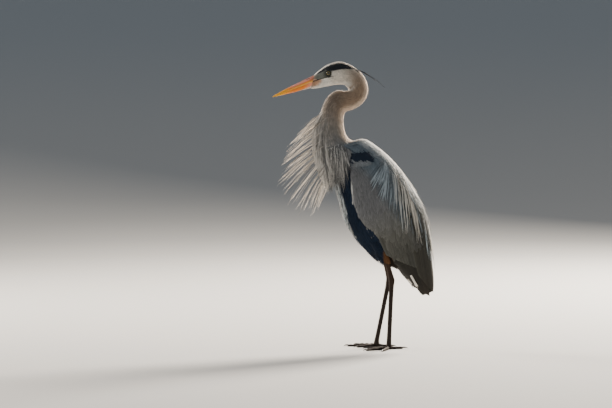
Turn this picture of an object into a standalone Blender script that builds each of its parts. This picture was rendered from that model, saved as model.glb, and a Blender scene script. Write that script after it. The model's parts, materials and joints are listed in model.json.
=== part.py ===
"""An adult great blue heron, standing upright with its neck drawn back in an S, as a still life-size model.

Metres, +Z up. The bird faces -X, its left side faces -Y, and its soles rest on Z = 0. The origin is the
middle of the bounding box's bottom. Sizes below are in millimetres, measured from a point on the ground
between the feet, and move_origin() shifts the finished bird to its own origin.

Head, neck and trunk are one form: a run of rings, each an ellipse from a point on the bird's back to a
point on its front. The pieces are lengths of that form, with a thin gap at each parting. Wings, mantle and
plumes are laid over it, and the pieces of the legs and feet are turned along their own paths.
"""

import math

import bpy
import numpy as np

MM = 0.001
GAP = 0.3  # between two pieces that meet

# The form's rings: name, (x, z) on the back, (x, z) on the front, half width. Ring t is the t-th row.
RINGS = [
    ("face", (-206, 793), (-215, 753), 10),
    ("lores", (-188, 808), (-196, 755), 14),
    ("eye", (-165, 823), (-171, 760), 19),
    ("crown", (-136, 831), (-142, 765), 22),
    ("hind_crown", (-110, 826), (-120, 765), 21.5),
    ("nape", (-84, 811), (-111, 759), 21),
    ("bend_top", (-62, 790), (-107, 755), 21),
    ("bend", (-50, 758), (-106, 752), 21.5),
    ("bend_low", (-54, 728), (-108, 748), 22),
    ("under_bend", (-71, 706), (-117, 746), 22.5),
    ("upper_neck", (-94, 693), (-138, 748), 23),
    ("crook", (-112, 688), (-160, 736), 23.5),
    ("under_crook", (-118, 679), (-175, 716), 24.5),
    ("mid_neck", (-121, 661), (-187, 684), 26),
    ("lower_neck", (-119, 641), (-195, 654), 29),
    ("neck_base", (-113, 619), (-196, 619), 34),
    ("collar", (-96, 603), (-187, 579), 43),
    ("shoulder", (-58, 597), (-171, 535), 55),
    ("mantle", (-6, 560), (-149, 480), 70),
    ("back", (36, 515), (-133, 428), 76),
    ("mid_back", (72, 463), (-117, 370), 77),
    ("loin", (102, 410), (-93, 329), 74),
    ("croup", (117, 361), (-61, 291), 66),
    ("rump", (125, 315), (-17, 249), 55),
    ("tail_root", (130, 280), (29, 235), 44),
    ("tertials", (135, 242), (61, 210), 36),
    ("wing_ends", (136, 207), (83, 183), 29),
    ("tips", (133, 178), (97, 166), 21),
    ("tip_end", (130, 161), (112, 154), 11),
]
RINGS_PER_STATION = 2
FORM_SIDES = 16
KEEL = 0.10  # how much wider the trunk is above its middle than below

# The trunk's own end inside the folded wings, and the tail that grows from it.
RUMP_STARTS, RUMP_ENDS = 22.0, 24.0
TAIL_RINGS = [((78, 268), (38, 228), 28), ((92, 219), (64, 199), 17), ((98, 174), (89, 168), 9)]

# Partings of the form, from the face backwards.
LENGTHS = {
    "head": (0.0, 4.5),
    "neck_nape": (4.5, 7.5),
    "neck_bend": (7.5, 10.0),
    "neck_crook": (10.0, 12.5),
    "neck_lower": (12.5, 15.5),
    "breast": (15.5, 18.0),
    "belly": (18.0, 21.0),
    "rump": (21.0, RUMP_ENDS),
}

# The feather layer over the trunk: its thickness, and the angles from the back at which it is divided.
LAYER = [(16.1, 0.8), (17.0, 9.5), (25.0, 8.0), (27.0, 5.0), (28.0, 2.5)]
WING_FROM, WING_TO = 17.05, 27.9
MANTLE_FROM, MANTLE_TO = 16.1, 23.1
WING_LOWER = [
    (17.05, 76), (17.5, 97), (18, 111), (19, 128), (20, 128), (21, 127),
    (22, 124), (23, 121), (24, 126), (25, 128), (26, 138), (28, 150),
]
WING_UPPER = [(17, 72), (18, 62), (19, 50), (21, 44), (22, 34), (22.8, 15), (23.3, 1), (28, 1)]
WING_PARTS = {"shoulder": (WING_FROM, 18.6), "coverts": (18.6, 22.6), "flight": (22.6, WING_TO)}
EDGE_THICKNESS = 1.2
SUNK = 2.0  # how far the layer's underside starts inside the trunk, before the trunk is cut from it

# Bill.
BILL_TIP = (-325.5, 730.0)
GAPE = (-210.3, 774.0)  # where the line between the mandibles meets the face
UPPER_DEPTH, LOWER_DEPTH, BILL_HALF_WIDTH = 18.0, 19.0, 9.5
UPPER_TAPER, LOWER_TAPER, WIDTH_TAPER = 0.72, 0.88, 0.85
BILL_END = 0.9  # the rounded point

# Eyes.
EYE_CENTRE = (-164.0, 13.6, 798.0)
EYE_RADIUS = 7.0

# Plumes: the two that trail from the nape, the bib that hangs from the lower neck, and its blown locks.
NAPE_PLUME = [(-82, 806), (-56, 796), (-29, 779), (-2, 757)]
NAPE_PLUME_RADIUS, NAPE_PLUME_SPREAD = 1.9, 7.0
BIB = [
    ((-190, 680), (-160, 672), 12),
    ((-206, 652), (-160, 645), 21),
    ((-211, 620), (-157, 610), 27),
    ((-211, 580), (-145, 575), 31),
    ((-204, 547), (-122, 547), 32),
    ((-192, 512), (-128, 512), 27),
    ((-175, 480), (-136, 480), 17),
    ((-163, 464), (-148, 464), 5),
]
LOCK_FAN_CENTRE = (-190.0, 604.0)
LOCK_ANGLES = (16.0, 84.0)  # below the horizontal, of the highest and lowest lock
LOCK_REACH = (92.0, 214.0)  # from the fan's centre to those locks' tips
LOCK_ROOTS = ((-188.0, 664.0), (-178.0, 540.0))
LOCKS_PER_LAYER = 6
LOCK_LAYERS = (-17.0, 0.0, 17.0)
LOCK_HALF_WIDTH, LOCK_HALF_THICKNESS = 4.2, 2.6

# Legs: x of each joint, lateral offset, and the sizes that both legs share.
LEGS = {
    "left": {"side": -1, "thigh_x": -30, "knee_x": 6, "ankle_x": 19, "foot_x": 11},
    "right": {"side": 1, "thigh_x": -34, "knee_x": 1, "ankle_x": 14, "foot_x": -23},
}
THIGH_TOP_Z, THIGH_END_Z, ANKLE_Z, FOOT_TOP_Z = 326.0, 251.0, 201.0, 16.0
THIGH_Y, KNEE_Y, ANKLE_Y, FOOT_Y = 33.0, 35.0, 37.0, 39.0
THIGH_RADIUS, KNEE_RADIUS, SHANK_RADIUS, ANKLE_RADIUS, TARSUS_RADIUS = 26.0, 10.0, 6.2, 8.2, 5.4

# Feet: each toe's heading in degrees from straight ahead, turning to the bird's left, and its length.
TOE_LENGTHS = {"inner": 62.0, "middle": 82.0, "outer": 70.0, "hind": 40.0}
TOE_HEADINGS = {
    "left": {"inner": -2.0, "middle": 38.0, "outer": 74.0, "hind": 198.0},
    "right": {"inner": 28.0, "middle": -4.0, "outer": -38.0, "hind": 171.0},
}
TOE_RADIUS_ROOT, TOE_RADIUS_END = 5.4, 3.5
TOE_ROOM = 0.25  # the most half width of a toe, as a share of the distance from the leg
CLAW_LENGTH, HIND_CLAW_LENGTH, CLAW_RADIUS = 14.0, 19.0, 2.5
PAD_PROFILE = [(0, 7.5), (3, 9.6), (8, 9.2), (13, 6.6), (FOOT_TOP_Z - GAP / 2, 5.4)]  # (z, radius)

COLOURS = {
    "bill": (0.80, 0.33, 0.06),
    "head": (0.72, 0.68, 0.62),
    "eye": (0.90, 0.62, 0.08),
    "black": (0.03, 0.035, 0.05),
    "neck": (0.42, 0.36, 0.32),
    "plume": (0.62, 0.58, 0.54),
    "trunk": (0.05, 0.06, 0.09),
    "mantle": (0.34, 0.38, 0.42),
    "wing": (0.30, 0.32, 0.35),
    "flight": (0.09, 0.10, 0.12),
    "thigh": (0.42, 0.18, 0.07),
    "leg": (0.10, 0.08, 0.06),
    "claw": (0.03, 0.03, 0.03),
}
ROUGHNESS = {"bill": 0.35, "eye": 0.08, "leg": 0.6, "claw": 0.35}
FEATHER_ROUGHNESS = 0.85


def clear_scene():
    for obj in list(bpy.data.objects):
        bpy.data.objects.remove(obj)


def through(rows, t):
    """A smooth curve through the rows of an array, read at the row numbers t, which may be fractions."""
    rows, t = np.asarray(rows, float), np.asarray(t, float)
    slopes = np.gradient(rows, axis=0)
    low = np.clip(np.floor(t).astype(int), 0, len(rows) - 2)
    f = (t - low)[..., None]
    a, b, da, db = rows[low], rows[low + 1], slopes[low], slopes[low + 1]
    return (
        a * (1 + 2 * f) * (1 - f) ** 2
        + da * f * (1 - f) ** 2
        + b * f * f * (3 - 2 * f)
        + db * f * f * (f - 1)
    )


def ring_points(back, front, half_width, theta, keel=0.0):
    """Ellipses in 3-D from back to front points, at angles theta from the back towards the left side."""
    middle, reach = (back + front) / 2, (back - front) / 2
    c, s = np.cos(theta), np.sin(theta)
    return np.stack(
        [
            middle[..., 0] + c * reach[..., 0],
            -half_width * s * (1 + keel * c),
            middle[..., 1] + c * reach[..., 1],
        ],
        -1,
    )


def form(t, theta):
    """A point of the body's form at station t and angle theta."""
    t, theta = np.broadcast_arrays(np.asarray(t, float), np.asarray(theta, float))
    table = np.array([(*back, *front, half) for _, back, front, half in RINGS], float)
    row = through(table, t)
    keel = KEEL * np.clip(t - 16, 0, 1) * np.clip((26 - t) / 3, 0, 1)
    return ring_points(row[..., 0:2], row[..., 2:4], row[..., 4], theta, keel)


def trunk(t, theta):
    """The form, drawn in to the root of the tail behind RUMP_STARTS."""
    t, theta = np.broadcast_arrays(np.asarray(t, float), np.asarray(theta, float))
    (back, front, half) = TAIL_RINGS[0]
    root = ring_points(np.array(back, float), np.array(front, float), half, theta)
    k = np.clip((t - RUMP_STARTS) / (RUMP_ENDS - RUMP_STARTS), 0, 1)[..., None]
    k = k * k * (3 - 2 * k)
    return form(np.minimum(t, 23.0), theta) * (1 - k) + root * k


def normals(surface, t, theta, step=0.02):
    """Outward unit normals of a surface function."""
    along = surface(t + step, theta) - surface(t - step, theta)
    around = surface(t, theta + step) - surface(t, theta - step)
    n = np.cross(around, along)
    return n / np.linalg.norm(n, axis=-1, keepdims=True)


def finish(obj, colour):
    """Gives an object its own material."""
    material = bpy.data.materials.new(obj.name)
    material.use_nodes = True
    shader = material.node_tree.nodes["Principled BSDF"]
    shader.inputs["Base Color"].default_value = (*COLOURS[colour], 1)
    shader.inputs["Roughness"].default_value = ROUGHNESS.get(colour, FEATHER_ROUGHNESS)
    shader.inputs["Metallic"].default_value = 0.0
    obj.data.materials.append(material)


def mesh_object(name, points, faces, colour):
    """An object from points in millimetres, with its faces turned outwards."""
    mesh = bpy.data.meshes.new(name)
    mesh.from_pydata((np.reshape(points, (-1, 3)) * MM).tolist(), [], faces)
    mesh.update()
    corners = np.array([mesh.vertices[i].co for f in mesh.polygons for i in (f.vertices[0],)])
    areas = np.array([f.normal * f.area for f in mesh.polygons])
    if (corners * areas).sum() < 0:
        mesh.flip_normals()
    mesh.shade_smooth()
    mesh.set_sharp_from_angle(angle=math.radians(50))
    obj = bpy.data.objects.new(name, mesh)
    bpy.context.scene.collection.objects.link(obj)
    if colour:
        finish(obj, colour)
    return obj


def loft(name, rings, colour):
    """A closed solid through a run of rings, each with the same number of points.

    Its sides are triangles, so that a grown copy used as a cutter is divided in the same way.
    """
    count, sides = rings.shape[:2]
    faces = [tuple(range(sides)), tuple(range((count - 1) * sides, count * sides))[::-1]]
    for i in range(count - 1):
        for j in range(sides):
            a, b = i * sides + j, i * sides + (j + 1) % sides
            faces += [(a, a + sides, b + sides), (a, b + sides, b)]
    return mesh_object(name, rings, faces, colour)


def drawn_back(rings, by):
    """The same rings, with the first and last moved inwards along the run, to leave half of a gap."""
    rings = rings.copy()
    for end, inner in ((0, 1), (-1, -2)):
        ring = rings[end]
        third = len(ring) // 3
        n = np.cross(ring[third] - ring[0], ring[2 * third] - ring[0])
        n /= np.linalg.norm(n)
        towards = (rings[inner] - ring).mean(0)
        rings[end] = ring + n * math.copysign(by, n @ towards)
    return rings


def thick_patch(name, surface, stations, columns, lower, upper, thickness, colour, sunk=SUNK):
    """A closed layer over part of a surface: a row at each station, from angle lower(t) to angle upper(t)."""
    rows = len(stations)
    t, v = np.meshgrid(stations, np.linspace(0, 1, columns), indexing="ij")
    theta = np.radians(lower(t) + (upper(t) - lower(t)) * v)
    n = normals(surface, t, theta)
    at = surface(t, theta)
    outer = at + n * thickness(t, v)[..., None]
    inner = at - n * sunk
    faces = []
    total = rows * columns
    for i in range(rows - 1):
        for j in range(columns - 1):
            a = i * columns + j
            for triangle in ((a, a + 1, a + columns + 1), (a, a + columns + 1, a + columns)):
                faces.append(triangle)
                faces.append(tuple(total + q for q in triangle[::-1]))
    border = [j for j in range(columns - 1)]
    border += [i * columns + columns - 1 for i in range(rows - 1)]
    border += [(rows - 1) * columns + j for j in range(columns - 1, 0, -1)]
    border += [i * columns for i in range(rows - 1, 0, -1)]
    for a, b in zip(border, border[1:] + border[:1]):
        faces += [(b, a, total + a), (b, total + a, total + b)]
    return mesh_object(name, np.concatenate([outer.reshape(-1, 3), inner.reshape(-1, 3)]), faces, colour)


def tube_rings(path, side, half_side, half_other, sides):
    """Rings square to a path: half_side is their half width along the side vector, half_other across it."""
    path = np.asarray(path, float)
    along = np.gradient(path, axis=0)
    along /= np.linalg.norm(along, axis=1, keepdims=True)
    w = np.asarray(side, float) - (along @ np.asarray(side, float))[:, None] * along
    w /= np.linalg.norm(w, axis=1, keepdims=True)
    u = np.cross(along, w)
    phi = np.arange(sides) * math.tau / sides
    half_side = np.broadcast_to(half_side, len(path))[:, None, None]
    half_other = np.broadcast_to(half_other, len(path))[:, None, None]
    ring = np.cos(phi)[None, :, None] * w[:, None] * half_side
    ring = ring + np.sin(phi)[None, :, None] * u[:, None] * half_other
    return path[:, None] + ring


def as_cutter(obj):
    obj.hide_render = True
    obj.display_type = "WIRE"
    return obj


def boolean(obj, operation, other):
    """Adds an exact Boolean with another object, or with every object of a collection."""
    modifier = obj.modifiers.new(operation.title(), "BOOLEAN")
    modifier.operation = operation
    modifier.solver = "EXACT"
    if isinstance(other, bpy.types.Collection):
        modifier.operand_type = "COLLECTION"
        modifier.collection = other
    else:
        modifier.object = other


def trunk_rings(start, end, grow=0.0):
    """Rings of head, neck and trunk between two stations, grown outwards by some millimetres."""
    count = int(round((end - start) * RINGS_PER_STATION)) + 1
    t, theta = np.meshgrid(
        np.linspace(start, end, count), np.arange(FORM_SIDES) * math.tau / FORM_SIDES, indexing="ij"
    )
    return trunk(t, theta) + grow * normals(trunk, t, theta)


def add_body():
    """Head, neck and trunk in their lengths, and the grown copy that is cut from all that lies on them."""
    for name, (start, end) in LENGTHS.items():
        colour = "head" if name == "head" else "neck" if name.startswith("neck") else "trunk"
        loft(name, drawn_back(trunk_rings(start, end), GAP / 2), colour)
    return as_cutter(loft("body_cutter", trunk_rings(0.0, RUMP_ENDS, GAP), None))


def add_tail():
    rows = np.array([(*back, *front, half) for back, front, half in TAIL_RINGS], float)
    row = through(rows, np.linspace(0, 2, 6))[:, None]
    theta = np.arange(FORM_SIDES) * math.tau / FORM_SIDES
    rings = ring_points(row[..., 0:2], row[..., 2:4], row[..., 4], theta)
    loft("tail", drawn_back(rings, GAP / 2), "flight")


def read(table, t):
    """A value from a list of (station, value) pairs."""
    stations, values = zip(*table)
    return np.interp(t, stations, values)


def add_wings(body_cutter, mantle_cutter):
    """Each wing as shoulder, coverts and flight feathers, laid over the trunk and meeting over its end."""

    def thickness(t, v):
        rim = np.clip(np.minimum(v / 0.16, (t - WING_FROM) / 0.5), 0, 1)
        return EDGE_THICKNESS + (read(LAYER, t) - EDGE_THICKNESS) * np.sqrt(rim * (2 - rim))

    seam = 0.004  # of a station, half of the gap between two parts
    rows = {"shoulder": 6, "coverts": 9, "flight": 10}
    for side, sign in (("left", 1), ("right", -1)):
        for part, (start, end) in WING_PARTS.items():
            obj = thick_patch(
                f"wing_{side}_{part}",
                form,
                np.linspace(start + seam, end - seam, rows[part]),
                8,
                lambda t: sign * read(WING_LOWER, t),
                lambda t: sign * np.maximum(read(WING_UPPER, t) - 2, 1.0),
                thickness,
                "flight" if part == "flight" else "wing",
            )
            boolean(obj, "DIFFERENCE", body_cutter)
            if part != "flight" or start < MANTLE_TO:
                boolean(obj, "DIFFERENCE", mantle_cutter)


def add_mantle(body_cutter):
    """The feathers of the back, between the wings."""

    def thickness(t, v):
        ends = np.clip(np.minimum((t - MANTLE_FROM) / 0.8, (MANTLE_TO - t) / 0.4), 0, 1)
        return EDGE_THICKNESS + (read(LAYER, t) - EDGE_THICKNESS) * np.sqrt(ends * (2 - ends))

    def patch(name, grow, colour):
        """The mantle, or its cutter: grow is in degrees at the sides, and in station hundredths behind."""
        stations = np.linspace(MANTLE_FROM, MANTLE_TO, 13)
        stations[-1] += 0.03 * grow
        return thick_patch(
            name,
            form,
            stations,
            9,
            lambda t: -read(WING_UPPER, np.clip(t, 17, MANTLE_TO)) - grow,
            lambda t: read(WING_UPPER, np.clip(t, 17, MANTLE_TO)) + grow,
            lambda t, v: thickness(t, v) + 5 * grow,
            colour,
            SUNK + 3 * grow,
        )

    boolean(patch("mantle", 0.0, "mantle"), "DIFFERENCE", body_cutter)
    return as_cutter(patch("mantle_cutter", 0.7, None))


def add_bill():
    """The two mandibles, each an arch on the line where they meet."""
    back, front = np.array(RINGS[0][1], float), np.array(RINGS[0][2], float)
    up = (back - front) / np.linalg.norm(back - front)
    q = np.linspace(0, 1, 10) ** 0.9
    line = np.array(GAPE) + (np.array(BILL_TIP) - np.array(GAPE)) * q[:, None]
    half_width = BILL_END + (BILL_HALF_WIDTH - BILL_END) * (1 - q) ** WIDTH_TAPER
    phi = np.linspace(0, math.pi, 9)
    for name, sign, depth, taper in (
        ("bill_upper", 1, UPPER_DEPTH, UPPER_TAPER),
        ("bill_lower", -1, LOWER_DEPTH, LOWER_TAPER),
    ):
        height = BILL_END + (depth - BILL_END) * (1 - q) ** taper
        rise = sign * (GAP / 2 + np.sin(phi)[None] ** 0.85 * height[:, None])
        points = np.stack(
            [
                line[:, None, 0] + up[0] * rise,
                -half_width[:, None] * np.cos(phi)[None],
                line[:, None, 1] + up[1] * rise,
            ],
            -1,
        )
        loft(name, drawn_back(points, GAP / 2), "bill")


def ball(name, centre, radius, colour, rows=7, sides=12):
    """A round ball whose poles point sideways."""
    phi = np.linspace(0.12, math.pi - 0.12, rows)
    path = np.array(centre) + np.outer(-np.cos(phi) * radius, (0, 1, 0))
    return loft(name, tube_rings(path, (1, 0, 0), radius * np.sin(phi), radius * np.sin(phi), sides), colour)


def add_eyes():
    x, y, z = EYE_CENTRE
    for side, sign in (("left", -1), ("right", 1)):
        ball(f"eye_{side}", (x, sign * y, z), EYE_RADIUS, "eye")
        socket = as_cutter(ball(f"socket_{side}", (x, sign * y, z), EYE_RADIUS + GAP, None))
        boolean(bpy.data.objects["head"], "DIFFERENCE", socket)


def add_nape_plumes(body_cutter):
    """The pair of long black plumes that trail from the nape."""
    q = np.linspace(0, 1, 8)
    row = through(NAPE_PLUME, 3 * q)
    for side, sign in (("left", -1), ("right", 1)):
        y = sign * (4.0 + (NAPE_PLUME_SPREAD - 4.0) * q)
        radius = NAPE_PLUME_RADIUS * (1 - 0.75 * q)
        path = np.stack([row[:, 0], y, row[:, 1]], -1)
        obj = loft(f"nape_plume_{side}", tube_rings(path, (0, 1, 0), radius, radius * 0.7, 8), "black")
        boolean(obj, "DIFFERENCE", body_cutter)


def lock_path(share, layer_y, side_sway):
    """A lock of the bib: from its root in the neck to its tip, on an arc that opens as the fan goes down."""
    root = np.array(LOCK_ROOTS[0]) + share * (np.array(LOCK_ROOTS[1]) - np.array(LOCK_ROOTS[0]))
    angle = math.radians(LOCK_ANGLES[0] + share * (LOCK_ANGLES[1] - LOCK_ANGLES[0]))
    reach = LOCK_REACH[0] + (LOCK_REACH[1] - LOCK_REACH[0]) * math.sin(share * math.pi / 2)
    tip = np.array(LOCK_FAN_CENTRE) + reach * np.array([-math.cos(angle), -math.sin(angle)])
    q = np.linspace(0, 1, 5)
    lift = 9.0 * np.sin(math.pi * q)
    x = root[0] + (tip[0] - root[0]) * q - lift * math.sin(angle)
    z = root[1] + (tip[1] - root[1]) * q + lift * math.cos(angle)
    return np.stack([x, layer_y + side_sway * q * q, z], -1), q


def add_bib(body_cutter):
    """The bib of long plumes on the lower neck, with its locks blown forward."""
    rows = np.array([(*front, *back, half) for front, back, half in BIB], float)
    row = through(rows, np.linspace(0, len(BIB) - 1, 9))[:, None]
    theta = np.arange(12) * math.tau / 12
    bib = loft("breast_plumes", ring_points(row[..., 0:2], row[..., 2:4], row[..., 4], theta), "plume")
    locks = bpy.data.collections.new("locks")
    locks.hide_render = True
    bpy.context.scene.collection.children.link(locks)
    for layer, y in enumerate(LOCK_LAYERS):
        for i in range(LOCKS_PER_LAYER):
            share = (i + 0.5 * (layer == 1)) / (LOCKS_PER_LAYER - 0.5)
            y_root = y * min(1.0, 0.35 + 1.6 * share)
            path, q = lock_path(share, y_root, 0.6 * y)
            blade = np.sin(math.pi * (0.25 + 0.7 * q))
            rings = tube_rings(path, (0, 1, 0), LOCK_HALF_THICKNESS * blade, LOCK_HALF_WIDTH * blade, 4)
            lock = as_cutter(loft(f"lock_{layer}_{i}", rings, None))
            bpy.context.scene.collection.objects.unlink(lock)
            locks.objects.link(lock)
    boolean(bib, "UNION", locks)
    boolean(bib, "DIFFERENCE", body_cutter)


def add_legs(body_cutter):
    """Thigh, shank and tarsus of each leg, meeting end to end."""
    for side, leg in LEGS.items():
        s = leg["side"]
        thigh = [
            (leg["thigh_x"], s * THIGH_Y, THIGH_TOP_Z),
            (leg["thigh_x"] * 0.45, s * (THIGH_Y + 1), 290.0),
            (leg["knee_x"], s * KNEE_Y, THIGH_END_Z),
        ]
        path = through(thigh, np.linspace(0, 2, 7))
        radius = THIGH_RADIUS + (KNEE_RADIUS - THIGH_RADIUS) * np.linspace(0, 1, 7) ** 0.8
        rings = level_end(tube_rings(path, (0, 1, 0), radius * 0.8, radius, 12), -1, THIGH_END_Z)
        boolean(loft(f"thigh_{side}", rings, "thigh"), "DIFFERENCE", body_cutter)

        ankle = np.array([leg["ankle_x"], s * ANKLE_Y, ANKLE_Z])
        knee = np.array([leg["knee_x"], s * KNEE_Y, THIGH_END_Z])
        foot = np.array([leg["foot_x"], s * FOOT_Y, FOOT_TOP_Z])
        q = np.linspace(0, 1, 6)
        radius = SHANK_RADIUS + (ANKLE_RADIUS - SHANK_RADIUS) * q**3
        rings = tube_rings(knee + (ankle - knee) * q[:, None], (0, 1, 0), radius * 0.85, radius, 10)
        rings = level_end(level_end(rings, 0, THIGH_END_Z), -1, ANKLE_Z)
        loft(f"shank_{side}", rings, "leg")
        q = np.linspace(0, 1, 9)
        radius = TARSUS_RADIUS + (ANKLE_RADIUS - TARSUS_RADIUS) * (1 - q) ** 6 + 0.5 * q**4
        rings = tube_rings(ankle + (foot - ankle) * q[:, None], (0, 1, 0), radius * 0.85, radius, 10)
        rings = level_end(level_end(rings, 0, ANKLE_Z), -1, FOOT_TOP_Z)
        loft(f"tarsus_{side}", rings, "leg")


def level_end(rings, end, z):
    """Turns an end ring of a leg flat at height z, half a gap inside the piece."""
    rings = rings.copy()
    inwards = 1 if rings[:, :, 2].mean() > z else -1
    rings[end, :, 2] = z + inwards * GAP / 2
    return rings


def heading(degrees):
    """The unit vector of a heading from straight ahead (-X), turning to the bird's left (-Y)."""
    return np.array([-math.cos(math.radians(degrees)), -math.sin(math.radians(degrees)), 0.0])


def add_toe(name, foot, ahead, length, pad_cutter):
    """One toe along the ground, flat underneath, narrower between its neighbours and swelling at joints."""
    q = np.linspace(0, 1, 8) ** 1.15
    reach = 7.0 + (length - 7.0) * q
    radius = TOE_RADIUS_ROOT + (TOE_RADIUS_END - TOE_RADIUS_ROOT) * q
    radius = radius * (1 + 0.07 * np.cos(q * 3 * math.tau))
    path = foot + ahead * reach[:, None]
    path[:, 2] = 0.82 * radius
    across = np.cross((0, 0, 1), ahead)
    rings = tube_rings(path, across, np.minimum(radius, TOE_ROOM * reach), radius, 8)
    flat = 0.42 * radius[:, None]
    rings[:, :, 2] = np.where(rings[:, :, 2] < flat * 0.9, 0.0, rings[:, :, 2])
    for end in (0, -1):
        rings[end] -= ahead * ((rings[end] - path[end]) @ ahead)[:, None]
    boolean(loft(name, rings, "leg"), "DIFFERENCE", pad_cutter)
    return path[-1]


def add_claw(name, root, ahead, length):
    """A claw curving forward and down from a toe's end."""
    q = np.linspace(0, 1, 6)
    path = root + ahead * (GAP + length * np.sin(q * 1.35) / math.sin(1.35))[:, None]
    path[:, 2] = 3.4 + 1.2 * np.sin(math.pi * q) - 2.2 * q**2
    radius = CLAW_RADIUS * (1 - q) ** 0.8 + 0.3
    rings = tube_rings(path, np.cross((0, 0, 1), ahead), radius * 0.8, radius, 6)
    rings[0] -= ahead * ((rings[0] - path[0]) @ ahead)[:, None]
    rings[:, :, 2] = np.maximum(rings[:, :, 2], GAP)
    loft(name, rings, "claw")


def add_feet():
    """Each foot: a pad under the tarsus and four toes with their claws."""
    phi = np.arange(12) * math.tau / 12
    for side, leg in LEGS.items():
        centre = np.array([leg["foot_x"], leg["side"] * FOOT_Y, 0.0])

        def pad_rings(grow):
            around = np.stack([np.cos(phi), np.sin(phi), 0 * phi], -1)
            levels = [(z, r + grow) for z, r in PAD_PROFILE]
            if grow:
                levels = [(-grow, levels[0][1]), *levels, (levels[-1][0] + grow, levels[-1][1])]
            return np.array([centre + (0, 0, z) + around * r for z, r in levels])

        loft(f"foot_{side}_pad", pad_rings(0.0), "leg")
        pad_cutter = as_cutter(loft(f"pad_cutter_{side}", pad_rings(GAP), None))
        for toe, length in TOE_LENGTHS.items():
            ahead = heading(TOE_HEADINGS[side][toe])
            end = add_toe(f"toe_{side}_{toe}", centre, ahead, length, pad_cutter)
            claw_length = HIND_CLAW_LENGTH if toe == "hind" else CLAW_LENGTH
            add_claw(f"claw_{side}_{toe}", end, ahead, claw_length)


def move_origin():
    """Moves every object so that the origin is the middle of the bounding box's bottom."""
    bpy.context.view_layer.update()
    graph = bpy.context.evaluated_depsgraph_get()
    corners = []
    for obj in bpy.context.scene.collection.objects:
        if obj.type == "MESH" and not obj.hide_render:
            mesh = obj.evaluated_get(graph).to_mesh()
            places = np.empty(len(mesh.vertices) * 3, np.float32)
            mesh.vertices.foreach_get("co", places)
            corners += [places.reshape(-1, 3).min(0), places.reshape(-1, 3).max(0)]
    low, high = np.min(corners, 0), np.max(corners, 0)
    shift = ((low[0] + high[0]) / 2, (low[1] + high[1]) / 2, low[2])
    for obj in bpy.data.objects:
        obj.location = [-float(x) for x in shift]


def build():
    clear_scene()
    body_cutter = add_body()
    add_bill()
    add_eyes()
    add_nape_plumes(body_cutter)
    add_bib(body_cutter)
    add_wings(body_cutter, add_mantle(body_cutter))
    add_tail()
    add_legs(body_cutter)
    add_feet()
    move_origin()


build()
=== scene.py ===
"""The looks of a standing great blue heron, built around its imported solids.

Metres, +Z up. The bird faces -X and its left side faces -Y. Places and angles on the body are given as a
station, from the face at 0 to the folded wings' tips at 28, and an angle from the middle of the back,
positive towards the left side. Lengths of the bird are in millimetres where a name ends in _MM.
"""

import json
import math

import bpy
import numpy as np
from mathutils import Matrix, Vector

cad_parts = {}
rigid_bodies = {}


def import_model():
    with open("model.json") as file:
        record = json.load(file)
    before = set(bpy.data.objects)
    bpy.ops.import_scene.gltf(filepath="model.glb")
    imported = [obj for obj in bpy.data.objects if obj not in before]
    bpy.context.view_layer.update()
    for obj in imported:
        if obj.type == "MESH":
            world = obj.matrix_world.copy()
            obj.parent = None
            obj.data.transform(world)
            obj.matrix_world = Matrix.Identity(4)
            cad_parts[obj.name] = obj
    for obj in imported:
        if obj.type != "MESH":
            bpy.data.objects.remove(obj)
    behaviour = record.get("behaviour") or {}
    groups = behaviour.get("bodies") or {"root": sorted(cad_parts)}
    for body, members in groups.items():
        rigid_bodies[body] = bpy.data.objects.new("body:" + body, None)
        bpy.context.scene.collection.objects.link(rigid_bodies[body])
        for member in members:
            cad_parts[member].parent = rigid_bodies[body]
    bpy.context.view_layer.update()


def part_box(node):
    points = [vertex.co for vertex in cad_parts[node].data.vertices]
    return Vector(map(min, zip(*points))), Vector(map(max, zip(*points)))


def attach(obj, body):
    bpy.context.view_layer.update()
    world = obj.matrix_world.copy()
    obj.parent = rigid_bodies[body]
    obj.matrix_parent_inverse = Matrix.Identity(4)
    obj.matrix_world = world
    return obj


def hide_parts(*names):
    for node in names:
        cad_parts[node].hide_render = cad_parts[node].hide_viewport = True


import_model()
rng = np.random.default_rng(20)
MM = 0.001


# ==== Studio ====
# A pale seamless sweep of paper under soft lamps: one broad warm lamp behind the bird's right shoulder
# that lights its edges, a smaller one at its side and a weak wide one in front. A long lens looks on.

eye_low, eye_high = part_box("eye_left")
EYE = np.array((eye_low + eye_high) / 2)
EYE_FROM_FEET = np.array((-164.0, -13.6, 798.0)) * MM
FEET = EYE - EYE_FROM_FEET  # the point on the floor between the feet

CAMERA_TARGET = FEET + np.array((-229.0, 0.0, 419.0)) * MM
CAMERA_DISTANCE = 9.0
CAMERA_RISE_DEG = 3.0
FRAME_WIDTH = 1.775
SENSOR_MM = 36.0
FLOOR_COLOUR, WALL_COLOUR = (0.325, 0.322, 0.316), (0.235, 0.256, 0.275)
WALL_FROM, WALL_TO = 0.02, 1.1
PAPER_GLOW = 0.16
SWEEP_ROWS, SWEEP_SIDES = 20, 96
FLOOR_RADIUS, WALL_REACH, WALL_HEIGHT = 4.0, 8.5, 3.2
SKY_COLOUR, SKY_STRENGTH = (0.80, 0.86, 0.92), 0.36


def aimed(obj, target):
    """Turns a lamp or camera so that its -Z axis points at a target."""
    away = obj.location - type(obj.location)(target)
    obj.rotation_euler = away.to_track_quat("Z", "Y").to_euler()


def lamp(name, place, size, watts, colour):
    """A square soft lamp, aimed at the middle of the bird."""
    data = bpy.data.lights.new(name, "AREA")
    data.size = size
    data.energy = watts
    data.color = colour
    obj = bpy.data.objects.new(name, data)
    obj.location = CAMERA_TARGET + np.array(place)
    bpy.context.scene.collection.objects.link(obj)
    aimed(obj, CAMERA_TARGET)


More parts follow.
